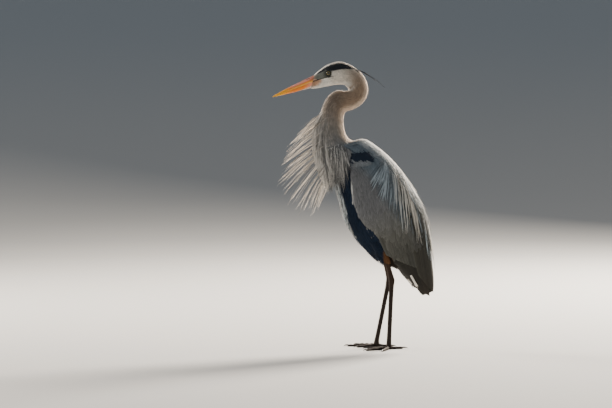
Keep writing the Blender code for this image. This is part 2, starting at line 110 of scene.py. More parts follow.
lamp("lamp_behind", (2.3, 2.8, 2.1), 1.3, 1180, (1.0, 0.90, 0.77))
lamp("lamp_side", (-2.6, 1.6, 1.3), 1.2, 270, (1.0, 0.90, 0.78))
lamp("lamp_front", (-2.2, -3.6, 1.4), 2.6, 26, (0.90, 0.95, 1.0))

camera_data = bpy.data.cameras.new("camera")
camera_data.sensor_width = SENSOR_MM
camera_data.lens = SENSOR_MM * CAMERA_DISTANCE / FRAME_WIDTH
camera = bpy.data.objects.new("camera", camera_data)
rise = math.radians(CAMERA_RISE_DEG)
camera.location = CAMERA_TARGET + CAMERA_DISTANCE * np.array((0.0, -math.cos(rise), math.sin(rise)))
bpy.context.scene.collection.objects.link(camera)
aimed(camera, CAMERA_TARGET)
bpy.context.scene.camera = camera

world = bpy.data.worlds.new("studio")
world.use_nodes = True
world.node_tree.nodes["Background"].inputs["Color"].default_value = (*SKY_COLOUR, 1)
world.node_tree.nodes["Background"].inputs["Strength"].default_value = SKY_STRENGTH
bpy.context.scene.world = world


class Finish:
    """A Principled material, and short ways to add the nodes that feed it."""

    def __init__(self, name, roughness, **sockets):
        """The constants are set directly on the shader."""
        self.material = bpy.data.materials.new(name)
        self.material.use_nodes = True
        self.tree = self.material.node_tree
        self.shader = self.tree.nodes["Principled BSDF"]
        for key, value in {"Roughness": roughness, **sockets}.items():
            self.shader.inputs[key.replace("_", " ")].default_value = value

    def node(self, kind, inputs=(), **settings):
        """A node with its settings, and its inputs set to values or linked to outputs."""
        node = self.tree.nodes.new("ShaderNode" + kind)
        for key, value in settings.items():
            setattr(node, key, value)
        for key, value in dict(inputs).items():
            if isinstance(value, bpy.types.NodeSocket):
                self.tree.links.new(value, node.inputs[key])
            else:
                node.inputs[key].default_value = value
        return node

    def place(self):
        """The place on the piece, in its own metres."""
        return self.node("TexCoord").outputs["Object"]

    def noise(self, vector, scale, detail):
        """Cloudy noise."""
        return self.node("TexNoise", {"Vector": vector, "Scale": scale, "Detail": detail}).outputs["Fac"]

    def ranged(self, value, low, high, to_low, to_high, kind="LINEAR"):
        """A value carried from one range to another, and held at its ends."""
        inputs = {"Value": value, "From Min": low, "From Max": high, "To Min": to_low, "To Max": to_high}
        return self.node("MapRange", inputs, interpolation_type=kind).outputs["Result"]

    def maths(self, operation, *values):
        """One step of arithmetic."""
        return self.node("Math", enumerate(values), operation=operation).outputs[0]

    def blend(self, factor, start, end):
        """One colour turning into another."""
        inputs = {"Factor": factor, "A": (*start, 1), "B": (*end, 1)}
        return self.node("Mix", inputs, data_type="RGBA").outputs["Result"]

    def times(self, colour, shade):
        """A colour times a shade."""
        return self.node("VectorMath", {0: colour, 1: shade}, operation="MULTIPLY").outputs[0]

    def tinted(self, shade):
        """The tint stored on the piece, times a shade."""
        return self.times(self.node("Attribute", attribute_name="tint").outputs["Color"], shade)

    def feed(self, socket, output):
        """Links an output to a socket of the shader."""
        self.tree.links.new(output, self.shader.inputs[socket])

    def bump(self, height, strength, distance):
        """A bump on the surface from a height."""
        inputs = {"Height": height, "Strength": strength, "Distance": distance}
        self.feed("Normal", self.node("Bump", inputs).outputs["Normal"])


def grid_faces(rows, columns, wrap):
    """The four corners of each cell of a grid of points, whose columns may close into a ring."""
    across = columns if wrap else columns - 1
    i, j = np.meshgrid(np.arange(rows - 1), np.arange(across), indexing="ij")
    a = i * columns + j
    b = i * columns + (j + 1) % columns
    return np.stack([a, b, b + columns, a + columns], -1).reshape(-1, 4)


def quad_object(name, points, quads, material, sharp_deg=None):
    """An object from an array of points and an array of four-cornered faces, turned to face outwards."""
    points = np.ascontiguousarray(points.reshape(-1, 3), np.float32)
    a, b, c, d = (points[quads[:, k]] for k in range(4))
    volume = (a * np.cross(b, c)).sum() + (a * np.cross(c, d)).sum()
    quads = quads if volume > 0 else quads[:, ::-1]
    mesh = bpy.data.meshes.new(name)
    mesh.vertices.add(len(points))
    mesh.vertices.foreach_set("co", points.ravel())
    mesh.loops.add(quads.size)
    mesh.loops.foreach_set("vertex_index", quads.astype(np.int32).ravel())
    mesh.polygons.add(len(quads))
    mesh.polygons.foreach_set("loop_start", np.arange(0, quads.size, 4, dtype=np.int32))
    mesh.update(calc_edges=True)
    mesh.validate()
    mesh.shade_smooth()
    if sharp_deg:
        mesh.set_sharp_from_angle(angle=math.radians(sharp_deg))
    obj = bpy.data.objects.new(name, mesh)
    bpy.context.scene.collection.objects.link(obj)
    mesh.materials.append(material)
    return obj


def turns(sides):
    """Angles evenly spaced round a full turn."""
    return np.arange(sides) * math.tau / sides


def sweep_points():
    """A disc of floor and a wide curve up from its rim, all round: a quarter of an ellipse."""
    turn = np.linspace(0, math.pi / 2, SWEEP_ROWS - 2)[:, None]
    reach = np.concatenate([[[0.002], [2.0]], FLOOR_RADIUS + WALL_REACH * np.sin(turn)])
    z = np.concatenate([[[0.0], [0.0]], WALL_HEIGHT - WALL_HEIGHT * np.cos(turn)])
    heading = turns(SWEEP_SIDES)
    return np.stack(np.broadcast_arrays(reach * np.cos(heading), reach * np.sin(heading), z), -1)


# The paper glows a little in its own tone: a painted glow from a surface that is no lamp, which also lights
# the bird softly from all round.
paper = Finish("studio_paper", 0.9, Emission_Strength=PAPER_GLOW)
height = paper.node("SeparateXYZ", {"Vector": paper.place()}).outputs["Z"]
up_wall = paper.ranged(height, WALL_FROM, WALL_TO, 0.0, 1.0, "SMOOTHSTEP")
paper_tone = paper.blend(up_wall, FLOOR_COLOUR, WALL_COLOUR)
paper.feed("Base Color", paper_tone)
paper.feed("Emission Color", paper_tone)
sweep_faces = grid_faces(SWEEP_ROWS, SWEEP_SIDES, True)
sweep = quad_object("studio_sweep", sweep_points(), sweep_faces, paper.material)
sweep.data.flip_normals()


# ==== Body form ====
# Head, neck and trunk are one run of ellipses, each from a point on the bird's back to a point on its
# front. Every feather is laid by station and angle on it, as a plumage map of the bird is drawn.

RINGS_MM = [  # (x, z) on the back, (x, z) on the front, half width
    ((-206, 793), (-215, 753), 10),  # 0 face
    ((-188, 808), (-196, 755), 14),
    ((-165, 823), (-171, 760), 19),  # 2 eye
    ((-136, 831), (-142, 765), 22),
    ((-110, 826), (-120, 765), 21.5),
    ((-84, 811), (-111, 759), 21),  # 5 nape
    ((-62, 790), (-107, 755), 21),
    ((-50, 758), (-106, 752), 21.5),  # 7 bend of the neck
    ((-54, 728), (-108, 748), 22),
    ((-71, 706), (-117, 746), 22.5),
    ((-94, 693), (-138, 748), 23),
    ((-112, 688), (-160, 736), 23.5),  # 11 crook of the neck
    ((-118, 679), (-175, 716), 24.5),
    ((-121, 661), (-187, 684), 26),
    ((-119, 641), (-195, 654), 29),
    ((-113, 619), (-196, 619), 34),  # 15 base of the neck
    ((-96, 603), (-187, 579), 43),
    ((-58, 597), (-171, 535), 55),  # 17 shoulder
    ((-6, 560), (-149, 480), 70),
    ((36, 515), (-133, 428), 76),
    ((72, 463), (-117, 370), 77),  # 20 middle of the back
    ((102, 410), (-93, 329), 74),
    ((117, 361), (-61, 291), 66),
    ((125, 315), (-17, 249), 55),  # 23 rump
    ((130, 280), (29, 235), 44),
    ((135, 242), (61, 210), 36),
    ((139, 207), (83, 182), 29),
    ((140, 178), (98, 162), 21),  # 27 tips of the folded wings
    ((138, 156), (116, 147), 11),
]
FORM_TABLE = np.array([(*back, *front, half) for back, front, half in RINGS_MM], float)
KEEL = 0.10
LAST_STATION = 28
RUMP_STARTS, RUMP_ENDS = 22.0, 24.0
TAIL_ROOT = np.array((78.0, 268.0, 38.0, 228.0, 28.0))
LAYER_MM = [(16.1, 0.8), (17.0, 9.5), (25.0, 8.0), (27.0, 5.0), (28.0, 2.5)]
WING_FROM, WING_TO = 17.05, 27.9
MANTLE_FROM, MANTLE_TO = 16.1, 23.1
WING_LOWER_DEG = [
    (17.05, 76), (17.5, 97), (18, 111), (19, 126), (20, 126), (20.7, 124), (21.2, 118),
    (22, 115), (22.5, 117), (23, 122), (23.6, 138), (24.2, 145), (26.3, 149), (28, 150),
]
WING_UPPER_DEG = [(17, 72), (18, 62), (19, 50), (21, 44), (22, 34), (22.8, 15), (23.3, 1), (28, 1)]
EDGE_MM, EDGE_ROUND = 1.2, 0.16  # the layer's rim: its height, and the share of the wing it rounds


def paired(t, theta):
    """Stations and angles as arrays of one shape."""
    return np.broadcast_arrays(np.asarray(t, float), np.asarray(theta, float))


def read(table, t):
    """A value from a list of (station, value) pairs, straight between them."""
    stations, values = zip(*table)
    return np.interp(t, stations, values)


def ease(x, start, end):
    """0 before start, 1 after end, and a smooth step between them."""
    k = np.clip((x - start) / (end - start), 0, 1)
    return k * k * (3 - 2 * k)


def bell(x, middle, width):
    """1 at the middle, falling on both sides as e to the minus square of the distance over the width."""
    return np.exp(-(((x - middle) / width) ** 2))


def through(rows, t):
    """A smooth curve through the rows of an array, read at row numbers t, which may be fractions.

    Between two rows it is the cubic that leaves and arrives with half the difference of their neighbours.
    """
    lean = np.gradient(rows, axis=0)
    low = np.clip(np.floor(t).astype(int), 0, len(rows) - 2)
    f = (t - low)[..., None]
    return (
        rows[low] * (1 + 2 * f) * (1 - f) ** 2
        + lean[low] * f * (1 - f) ** 2
        + rows[low + 1] * f * f * (3 - 2 * f)
        + lean[low + 1] * f * f * (f - 1)
    )


def ring_points(row, theta, keel=0.0):
    """A point of an ellipse: its middle, cosine times the way to the back, and sine times the half width."""
    c, s = np.cos(theta), np.sin(theta)
    x = (row[..., 0] + row[..., 2]) / 2 + c * (row[..., 0] - row[..., 2]) / 2
    z = (row[..., 1] + row[..., 3]) / 2 + c * (row[..., 1] - row[..., 3]) / 2
    y = -row[..., 4] * s * (1 + keel * c)
    return np.stack([x, y, z], -1) * MM + FEET


def form(t, theta):
    """A point of the body's form at station t and angle theta."""
    t, theta = paired(t, theta)
    keel = KEEL * np.clip(t - 16, 0, 1) * np.clip((26 - t) / 3, 0, 1)
    return ring_points(through(FORM_TABLE, np.clip(t, 0, LAST_STATION)), theta, keel)


def trunk(t, theta):
    """The form up to RUMP_STARTS, drawn in from there to the root of the tail by a smooth step."""
    t, theta = paired(t, theta)
    k = ease(t, RUMP_STARTS, RUMP_ENDS)[..., None]
    return form(np.minimum(t, 23.0), theta) * (1 - k) + ring_points(TAIL_ROOT, theta) * k


def slopes(surface, t, theta, step=0.02):
    """A surface's change for one station and for one radian, from two small differences."""
    along = (surface(t + step, theta) - surface(t - step, theta)) / (2 * step)
    around = (surface(t, theta + step) - surface(t, theta - step)) / (2 * step)
    return along, around


def unit(vectors):
    """Vectors over their lengths."""
    return vectors / np.maximum(np.linalg.norm(vectors, axis=-1, keepdims=True), 1e-12)


def normals(surface, t, theta):
    """Outward unit normals: the cross product of a surface's two slopes."""
    along, around = slopes(surface, t, theta)
    return unit(np.cross(around, along))


def raised(surface, t, theta, rise):
    """Places at a rise in metres from a surface, and the normals there."""
    up = normals(surface, t, theta)
    return surface(t, theta) + up * np.asarray(rise)[..., None], up


def layer_height(t, theta):
    """How far the folded wing or the mantle stands above the form, in metres, with a rounded rim."""
    a = np.abs(np.degrees(theta))
    lower, upper = read(WING_LOWER_DEG, t), read(WING_UPPER_DEG, t)
    rim = np.clip(np.minimum((lower - a) / (EDGE_ROUND * (lower - upper)), (t - WING_FROM) / 0.5), 0, 1)
    ends = np.clip((t - MANTLE_FROM) / 0.8, 0, 1)
    open_edge = np.where(a < upper, np.where(t < MANTLE_TO, ends, rim), rim)
    full = read(LAYER_MM, t) - EDGE_MM
    height = (EDGE_MM + full * np.sqrt(open_edge * (2 - open_edge))) * (open_edge > 0)
    return height * MM


# ==== Markings ====
# An adult's pattern, the same for the skin and the feathers: white head with a black band above each eye,
# rosy grey neck, black and white streaks down the breast, black belly, blue-grey wings and back, a black
# patch at the bend of the wing, rust-brown thighs and white under the tail.

# Some of these colours are painted light: a rim highlight down the back of the neck, a paler top of the
# mantle, a highlight on the wing's shoulder and shade in the crook of the neck.
WHITE = (0.80, 0.76, 0.69)
BLACK = (0.010, 0.013, 0.018)
CHEEK = (0.66, 0.60, 0.52)
NECK_GREY = (0.29, 0.205, 0.14)
NECK_LOW = (0.245, 0.225, 0.20)
NECK_FRONT = (0.62, 0.52, 0.43)
NECK_CROOK_SHADE = (0.165, 0.125, 0.095)
NECK_RIM_HIGHLIGHT = (0.80, 0.64, 0.50)
SHOULDER_HIGHLIGHT = (0.24, 0.25, 0.255)
BREAST_GREY = (0.20, 0.20, 0.20)
BLUE_BLACK = (0.007, 0.015, 0.032)
STREAK = (0.56, 0.61, 0.62)
BACK_GREY = (0.120, 0.153, 0.180)
BACK_PALE_AND_RIM_LIGHT = (0.44, 0.43, 0.405)
WING_GREY = (0.124, 0.128, 0.135)
WING_OLIVE = (0.108, 0.109, 0.098)
WING_DARK = (0.026, 0.026, 0.021)
WING_BROWN = (0.020, 0.015, 0.011)
WING_EDGE = (0.50, 0.51, 0.50)
RUST = (0.115, 0.052, 0.022)
RUST_FROM_MM = [(236, -6), (250, -1), (275, -4), (300, -6)]  # height, and the rust's front edge in x
CROWN_BAND_MM = [  # x, and the height of the black band's lower edge
    (-204, 792), (-190, 797), (-178, 804), (-164, 807), (-150, 804.5), (-133, 809), (-104, 811), (-85, 812),
]
LORE_EDGE_MM = [(-212, 780.5), (-204, 779.5), (-193, 778), (-158, 787), (-154, 793)]
EYE_STREAK_MM = ((-168, 786.5), (-152, 789.5))
SHOULDER_HIGHLIGHT_MM = ((-96, 542), (-50, 546))
WRIST_PATCH_MM = [  # two ends of a stretch seen from the side, and its half width
    ((-104, 533), (-101, 556), 9.5),
    ((-96, 557), (-60, 558), 13.0),
    ((-60, 556), (-44, 550), 7.0),
]


def mixed(base, colour, amount):
    """Colours blended towards another by an amount at each place."""
    return base + (np.asarray(colour) - base) * np.clip(amount, 0, 1)[..., None]


def painted(colour, *layers):
    """Colours blended towards one after another, each by its own amount."""
    for paint, amount in layers:
        colour = mixed(colour, paint, amount)
    return colour


def flat(colour, *shape):
    """One colour in an array of a given shape."""
    return np.broadcast_to(np.array(colour), (*shape, 3))


def seen(points):
    """Places seen from the side: x and z in millimetres from the feet."""
    place = (points - FEET) / MM
    return place[..., 0], place[..., 2]


def distance_to_line(x, z, start, end):
    """The distance in millimetres, seen from the side, from a place to a straight stretch."""
    start, end = np.asarray(start, float), np.asarray(end, float)
    line = end - start
    along = np.clip(((x - start[0]) * line[0] + (z - start[1]) * line[1]) / (line @ line), 0, 1)
    return np.hypot(x - start[0] - along * line[0], z - start[1] - along * line[1])


def markings(t, theta):
    """The plumage's colour at a station and an angle from the back, as bands with soft edges, with painted
    light mixed in.
    """
    t, theta = paired(t, theta)
    a = np.abs(np.degrees(np.arctan2(np.sin(theta), np.cos(theta))))
    x, z = seen(form(t, theta))

    # Head and neck.
    front = ease(a, 70, 150)
    neck = ease(t, 3.7 + 1.1 * front, 6.4 + 0.4 * front)
    nape_grey = ease(x, -130, -106) * (t < 6.5) * ease(a, 30, 60) * (1 - 0.6 * front)
    # Painted shade on the inner side of the crook of the neck.
    crook = ease(t, 8.6, 10.4) * (1 - ease(t, 11.5, 14.0)) * ease(a, 50, 100)
    crown_side = ease(a, 26 * (1 - ease(t, 4.2, 5.0)), 30 - 17 * ease(t, 4.2, 5.0))
    band = ease(z, read(CROWN_BAND_MM, x) - 1.5, read(CROWN_BAND_MM, x) + 1.5) * crown_side
    nape = ease(t, 4.7, 4.9) * (1 - ease(t, 5.2, 5.5)) * ease(a, 2, 8) * (1 - ease(a, 26, 40))
    streak = 1 - ease(distance_to_line(x, z, *EYE_STREAK_MM), 0.8, 2.4)

    # Breast, mantle and wings.
    vein = np.interp(t, (16, 18, 19, 20, 21), (145, 147, 151, 159, 170))
    lower, upper = read(WING_LOWER_DEG, t), read(WING_UPPER_DEG, t)
    over = (a < lower) * ease(t, 15.0, 16.6)
    wing = over * (t > 17.4) * (a > upper)
    rim = ease(a, lower - 6.0, lower - 3.5) * ease(t, 17.9, 18.3) * (1 - ease(t, 18.8, 19.5))
    # Painted highlight: a lighter zone on the wing's shoulder, below the black patch at its bend.
    shoulder = 1 - ease(distance_to_line(x, z, *SHOULDER_HIGHLIGHT_MM), 7.0, 16.0)

    colour = painted(
        flat(WHITE, *t.shape),
        (CHEEK, ease(z, 770, 777) * ease(t, 1.5, 3.0)),
        (NECK_GREY, nape_grey * 0.42),
        (NECK_GREY, neck),
        # painted shade in the crook of the neck
        (NECK_CROOK_SHADE, crook * 0.8),
        (NECK_LOW, ease(t, 10.0, 14.5)),
        # painted rim highlight: pale warm buff down the back of the neck
        (NECK_RIM_HIGHLIGHT, neck * (1 - ease(a, 34, 66)) * (1 - ease(t, 15.2, 16.4)) * 0.8),
        (BLACK, band * ease(x, -204, -199) * (1 - ease(x, -91, -86))),
        (BLACK, nape * 0.8),
        (BLACK, streak * (t < 3.4) * (a > 30) * 0.85),
        (NECK_FRONT, ease(a, 146, 168) * neck * 0.8),
        (BREAST_GREY, ease(t, 14.0, 16.0) * ease(a, 40, 80)),
        (BLUE_BLACK, ease(t, 16.6, 17.4) * ease(a, 78, 90)),
        (STREAK, ease(a, vein, vein + 6) * ease(t, 15.5, 16.5) * (1 - ease(t, 20.2, 21.2))),
        (BACK_GREY, over),
        # pale plumes along the top of the mantle, made paler still as a painted rim highlight
        (BACK_PALE_AND_RIM_LIGHT, over * (1 - ease(a, 12, 40)) * (1 - ease(t, 17.5, 20.0)) * 0.8),
        (WING_DARK, over * (1 - ease(a, 34, 56)) * ease(t, 19.3, 21.4) * 0.85),
        (WING_GREY, wing * ease(a, upper + 6, upper + 34)),
        (WING_OLIVE, wing * ease(t, 19.5, 22.0) * ease(a, 40, 70)),
        (WING_DARK, wing * ease(t, 20.9, 23.4) * 0.85),
        (WING_EDGE, wing * rim * 0.8),
        # painted highlight on the wing's shoulder
        (SHOULDER_HIGHLIGHT, wing * shoulder * 0.7),
    )
    for start, end, reach in WRIST_PATCH_MM:
        patch = 1 - ease(distance_to_line(x, z, start, end), reach - 1.5, reach + 1.5)
        colour = mixed(colour, BLUE_BLACK, patch * (a > 25))
    return colour


# ==== Skin ====
# One closed skin over the whole bird, under the feathers by the depth of the coat: head, neck and trunk,
# the beds of the wings, the legs and the toes, joined into one piece. Its bare parts are the lores and lids
# of the face and the scaled shanks, tarsi and toes.

COAT_DEPTH_MM = [(0, 0.5), (1, 0.9), (3, 1.8), (6, 2.6), (12, 3.0), (16, 4.0), (18, 5.0), (24, 4.0)]
GAPE_MM = np.array((-210.3, 774.0))
GAPE_BACK_MM = np.array((-193.0, 779.5))
GAPE_SKIN_MM = [  # two ends of each stretch of bare skin behind the bill, and its half width
    ((-214.0, 768.0), (-204.0, 771.0), 9.5),
    ((-206.0, 772.5), (-195.0, 774.0), 5.5),
]
LID_RADIUS_MM, LID_WIDTH_MM, LID_RISE_MM = 6.9, 1.15, 1.0
BROW_RADIUS_MM, BROW_WIDTH_MM, BROW_RISE_MM = 10.5, 2.2, 0.7
GAPE_GROOVE_MM = 0.8
TAIL_BED_MM = np.array([TAIL_ROOT, (92, 219, 64, 199, 17), (96, 182, 84, 174, 9)], float)
TAIL_BED_SHARE, WING_BED_SHARE, WING_BED_MM = 0.72, 0.42, 1.5
SKIN_SIDES = 120


def eye_distance(place):
    """The distance in metres, seen from the side, from a place to the middle of the eye."""
    return np.hypot(place[..., 0] - EYE[0], place[..., 2] - EYE[2])


def beyond_gape_skin(x, z):
    """How far a place seen from the side lies outside the bare skin behind the bill, in millimetres."""
    return np.min([distance_to_line(x, z, a, b) - reach for a, b, reach in GAPE_SKIN_MM], axis=0)


def skin_surface(t, theta):
    """The trunk's form, lowered by the coat's depth and raised under wings and mantle.

    A rim with a bell-shaped section rings each eye, and a groove runs back from the gape.
    """
    base = trunk(t, theta)
    x, z = seen(base)
    r = eye_distance(base) / MM
    groove = bell(distance_to_line(x, z, GAPE_MM, GAPE_BACK_MM), 0.0, GAPE_GROOVE_MM)
    offset = layer_height(t, theta) * (1 - ease(t, 21.6, 22.4)) - read(COAT_DEPTH_MM, t) * MM
    offset += MM * LID_RISE_MM * bell(r, LID_RADIUS_MM, LID_WIDTH_MM)
    offset += MM * BROW_RISE_MM * bell(r, BROW_RADIUS_MM, BROW_WIDTH_MM) * ease(z, 799, 806)
    offset -= MM * GAPE_GROOVE_MM * groove
    return raised(trunk, t, theta, offset)[0]


def closed_tube(points):
    """A tube from rings of points, closed at each end by a last ring drawn in to the ring's own middle."""
    first = points[:1].mean(1, keepdims=True) * 0.999 + points[:1] * 0.001
    last = points[-1:].mean(1, keepdims=True) * 0.999 + points[-1:] * 0.001
    rings = np.concatenate([first, points, last])
    rows, sides = rings.shape[:2]
    quads = grid_faces(rows, sides, True)
    cap = np.arange(0, sides - 2, 2)
    fan = np.stack([0 * cap, cap + 1, cap + 2, (cap + 3) % sides], -1)
    return rings, np.concatenate([quads, fan[:, ::-1], fan + (rows - 1) * sides])


def spaced(*runs):
    """Values evenly spaced in each run, given as its first value, its last and their count."""
    return np.concatenate([np.linspace(*run) for run in runs])


def tube(path, side, half_side, half_other, sides):
    """Rings square to a path: an ellipse whose first half width lies along the side vector."""
    along = unit(np.gradient(path, axis=0))
    w = unit(side - (along @ side)[:, None] * along)
    u = np.cross(along, w)
    phi = turns(sides)
    across = (np.cos(phi) * half_side)[..., None] * w[:, None]
    return path[:, None] + across + (np.sin(phi) * half_other)[..., None] * u[:, None]


body_stations = spaced((0, 0.6, 12), (0.63, 3.4, 90), (3.5, 17, 112), (17.1, 24, 60))
body_theta = turns(SKIN_SIDES)
body_rings = skin_surface(*np.meshgrid(body_stations, body_theta, indexing="ij"))
tail_path = through(TAIL_BED_MM, np.linspace(0.1, 2, 12))
tail_rings = ring_points(tail_path[:, None], body_theta)
tail_middle = tail_rings.mean(1, keepdims=True)
tail_rings = tail_middle + (tail_rings - tail_middle) * TAIL_BED_SHARE
body_rings = np.concatenate([body_rings, tail_rings])


def wing_bed(side):
    """The wing under its feathers: part of the layer's height above the form, and a little below it."""
    t, v = np.meshgrid(np.linspace(20.0, WING_TO - 0.4, 60), np.linspace(0, 1, 40), indexing="ij")
    lower, upper = read(WING_LOWER_DEG, t) - 3.0, np.maximum(read(WING_UPPER_DEG, t), 1.5)
    theta = side * np.radians(lower + (upper - lower) * v)
    outer, _ = raised(form, t, theta, WING_BED_SHARE * layer_height(t, theta))
    inner, _ = raised(form, t, theta, -WING_BED_MM * MM * (1 - ease(t, 26, 27.5) * 0.6))
    return np.concatenate([outer, inner[:, ::-1]], 1)


LEG_JOINTS_MM = {  # thigh top, mid thigh, knee, ankle, foot
    "left": ((-30, -33, 326), (-13.5, -34, 290), (6, -35, 251), (19, -37, 201), (11, -39, 16)),
    "right": ((-34, 33, 326), (-15.3, 34, 290), (1, 35, 251), (14, 37, 201), (-23, 39, 16)),
}
LEG_RADIUS_MM = [  # height, and radius there
    (0.6, 7.4), (3, 9.6), (8, 9.4), (13, 7.8), (18, 7.1), (30, 6.6), (60, 6.3), (110, 6.3), (160, 6.5),
    (182, 7.1), (192, 8.2), (201, 8.9), (210, 8.6), (220, 7.7), (235, 7.2), (251, 8.0), (262, 10.0),
    (276, 14.5), (290, 18.5), (310, 22.5), (326, 24.0),
]
LEG_FLATNESS = [(0.6, 1.0), (14, 1.0), (20, 0.86), (250, 0.86), (290, 0.8)]  # height, half width over depth
LEG_SIDES = 36
SCUTE_PITCH_MM, SCUTE_RISE_MM = 3.7, 0.32
BEAD_PITCH_MM, BEADS_AROUND, BEAD_RISE_MM = 2.4, 9, 0.10


def leg_line(side, height):
    """The x and y of a leg's middle at a height, straight from joint to joint, all in millimetres."""
    x, y, knots = np.array(LEG_JOINTS_MM[side][::-1], float).T
    return np.interp(height, knots, x), np.interp(height, knots, y)


def leg_rings(side):
    """Thigh, shank, ankle, tarsus and pad as one tube, with a row of overlapping scutes down its front.

    The radius is read along the leg's height. Each scute rises from its upper edge to its lower one.
    """
    height = spaced((322, 262, 30), (261, 16.5, 400), (16, 0.6, 30))
    x, y = leg_line(side, height)
    bend = ease(height, 30, 60)
    x = x * (1 - bend) + bend * np.convolve(np.pad(x, 7, "edge"), np.ones(15) / 15, "valid")
    phi = turns(LEG_SIDES)
    facing = np.clip(-np.sin(phi), 0, 1)
    scaled = (ease(height, 14, 20) * (1 - ease(height, 222, 236)))[:, None]
    tooth = (height / SCUTE_PITCH_MM) % 1.0
    edge = np.clip((1 - tooth) / 0.8, 0, 1) * ease(tooth, 0, 0.12)
    scute = edge[:, None] * ease(facing, 0.25, 0.6) * scaled
    beads = np.sin(height * math.tau / BEAD_PITCH_MM)[:, None] * np.sin(phi * BEADS_AROUND) * scaled
    radius = read(LEG_RADIUS_MM, height)[:, None] + SCUTE_RISE_MM * scute
    radius = radius + BEAD_RISE_MM * beads * (1 - ease(facing, 0.2, 0.4))
    path = np.stack([x, y, height], -1) * MM + FEET
    half_width = radius * read(LEG_FLATNESS, height)[:, None] * MM
    rings = tube(path, np.array((0.0, 1.0, 0.0)), half_width, radius * MM, LEG_SIDES)
    rings[..., 2] = height[:, None] * MM + FEET[2]
    return rings


TOE_LENGTHS_MM = {"inner": 62.0, "middle": 82.0, "outer": 70.0, "hind": 40.0}
TOE_HEADINGS_DEG = {
    "left": {"inner": -2.0, "middle": 38.0, "outer": 74.0, "hind": 198.0},
    "right": {"inner": 28.0, "middle": -4.0, "outer": -38.0, "hind": 171.0},
}
TOE_PADS = {"inner": 2, "middle": 3, "outer": 4, "hind": 1}
TOE_SIDES = 24
TOE_ROOT_MM, TOE_TIP_MM = 5.3, 3.4
PAD_SWELL, TOE_SCUTE_PITCH_MM, TOE_SCUTE_RISE_MM = 0.10, 2.9, 0.28


def toe_ahead(side, toe):
    """The unit vector of a toe's heading, turned from straight ahead towards the bird's left."""
    angle = math.radians(TOE_HEADINGS_DEG[side][toe])
    return np.array((-math.cos(angle), -math.sin(angle), 0.0))


def toe_path(side, toe, reach):
    """Places on the ground along a toe's middle, in millimetres, and the vector across it."""
    foot = np.array(LEG_JOINTS_MM[side][-1], float) * (1, 1, 0)
    ahead = toe_ahead(side, toe)
    return foot + ahead * reach[:, None], np.cross((0.0, 0.0, 1.0), ahead)


def toe_rings(side, toe):
    """A toe on the ground: flat underneath, swelling at each joint, with scutes across its top."""
    length = TOE_LENGTHS_MM[toe]
    reach = np.linspace(2.0, length + 1.5, int(length * 1.7))
    q = reach / length
    radius = TOE_ROOT_MM + (TOE_TIP_MM - TOE_ROOT_MM) * q
    pads = 1 + PAD_SWELL * np.cos(q * TOE_PADS[toe] * math.tau)
    radius = radius * pads * (1 - 0.35 * ease(q, 0.93, 1.02))
    path, across = toe_path(side, toe, reach)
    path = path * MM + FEET
    tooth = (reach / TOE_SCUTE_PITCH_MM) % 1.0
    top = np.clip(np.sin(turns(TOE_SIDES)), 0, 1) * ease(q, 0.1, 0.2)[:, None]
    ridge = (np.clip(tooth / 0.8, 0, 1) * (1 - ease(tooth, 0.86, 1.0)))[:, None] * ease(top, 0.3, 0.7)
    radius = radius[:, None] + TOE_SCUTE_RISE_MM * ridge
    path[:, 2] = FEET[2] + 0.80 * radius.min(1) * MM
    half_width = np.minimum(radius, 2.2 + 0.17 * reach[:, None])
    rings = tube(path, across, half_width * MM, radius * MM, TOE_SIDES)
    rings[..., 2] = np.where(rings[..., 2] < FEET[2] + 0.4 * MM, FEET[2], rings[..., 2])
    return rings


def skin_material():
    """Downy skin in the plumage's colours with painted shade, and dark dry scales with rounded edges on the
    legs.
    """
    skin_look = Finish("heron_skin", 0.72, Specular_IOR_Level=0.12)
    place = skin_look.place()
    level = skin_look.maths("ADD", skin_look.noise(place, 700.0, 3.0), skin_look.noise(place, 60.0, 4.0))
    cells = skin_look.node("TexVoronoi", {"Vector": place, "Scale": 620.0}, feature="DISTANCE_TO_EDGE")
    beads = skin_look.ranged(cells.outputs["Distance"], 0.0, 0.12, 0.0, 1.0)
    colour = skin_look.tinted(skin_look.ranged(level, 0.6, 1.4, 0.72, 1.28))
    skin_look.feed("Base Color", skin_look.times(colour, skin_look.ranged(beads, 0.0, 1.0, 0.45, 1.0)))
    skin_look.bump(beads, 0.5, 0.0004)
    return skin_look.material


def tint_vertices(obj, colours):
    """Stores a colour for each vertex in the attribute that the materials read."""
    mesh = obj.data
    rgba = np.concatenate([colours, np.ones((len(colours), 1))], 1).astype(np.float32)
    layer = mesh.color_attributes.new("tint", "FLOAT_COLOR", "POINT")
    layer.data.foreach_set("color", rgba.ravel())


def station_of(points):
    """The station of the nearest point of the body's own axis, and the angle round it, for any place."""
    stations = np.linspace(0, 24, 241)
    axis = (trunk(stations, 0.0) + trunk(stations, math.pi)) / 2
    parts = np.array_split(points, 20)
    nearest = np.concatenate([np.linalg.norm(part[:, None] - axis, axis=-1).argmin(1) for part in parts])
    t = stations[nearest]
    offset = points - axis[nearest]
    back, side = (trunk(t, angle) - axis[nearest] for angle in (0.0, math.pi / 2))
    c, s = ((offset * way).sum(1) / (way * way).sum(1) for way in (back, side))
    return t, np.arctan2(s, c)


BARE_LEG = (0.030, 0.022, 0.018)
BARE_LEG_LIGHT = (0.060, 0.032, 0.019)
GAPE_SKIN = (0.50, 0.29, 0.18)
LORE = (0.205, 0.210, 0.180)
LORE_DARK = (0.022, 0.023, 0.020)
LORE_FRONT = (0.36, 0.27, 0.20)
GAPE_DARK = (0.02, 0.018, 0.016)
# The skin is painted darker than the feathers' markings: painted shade between the feathers.
SKIN_PAINTED_SHADE = 0.55


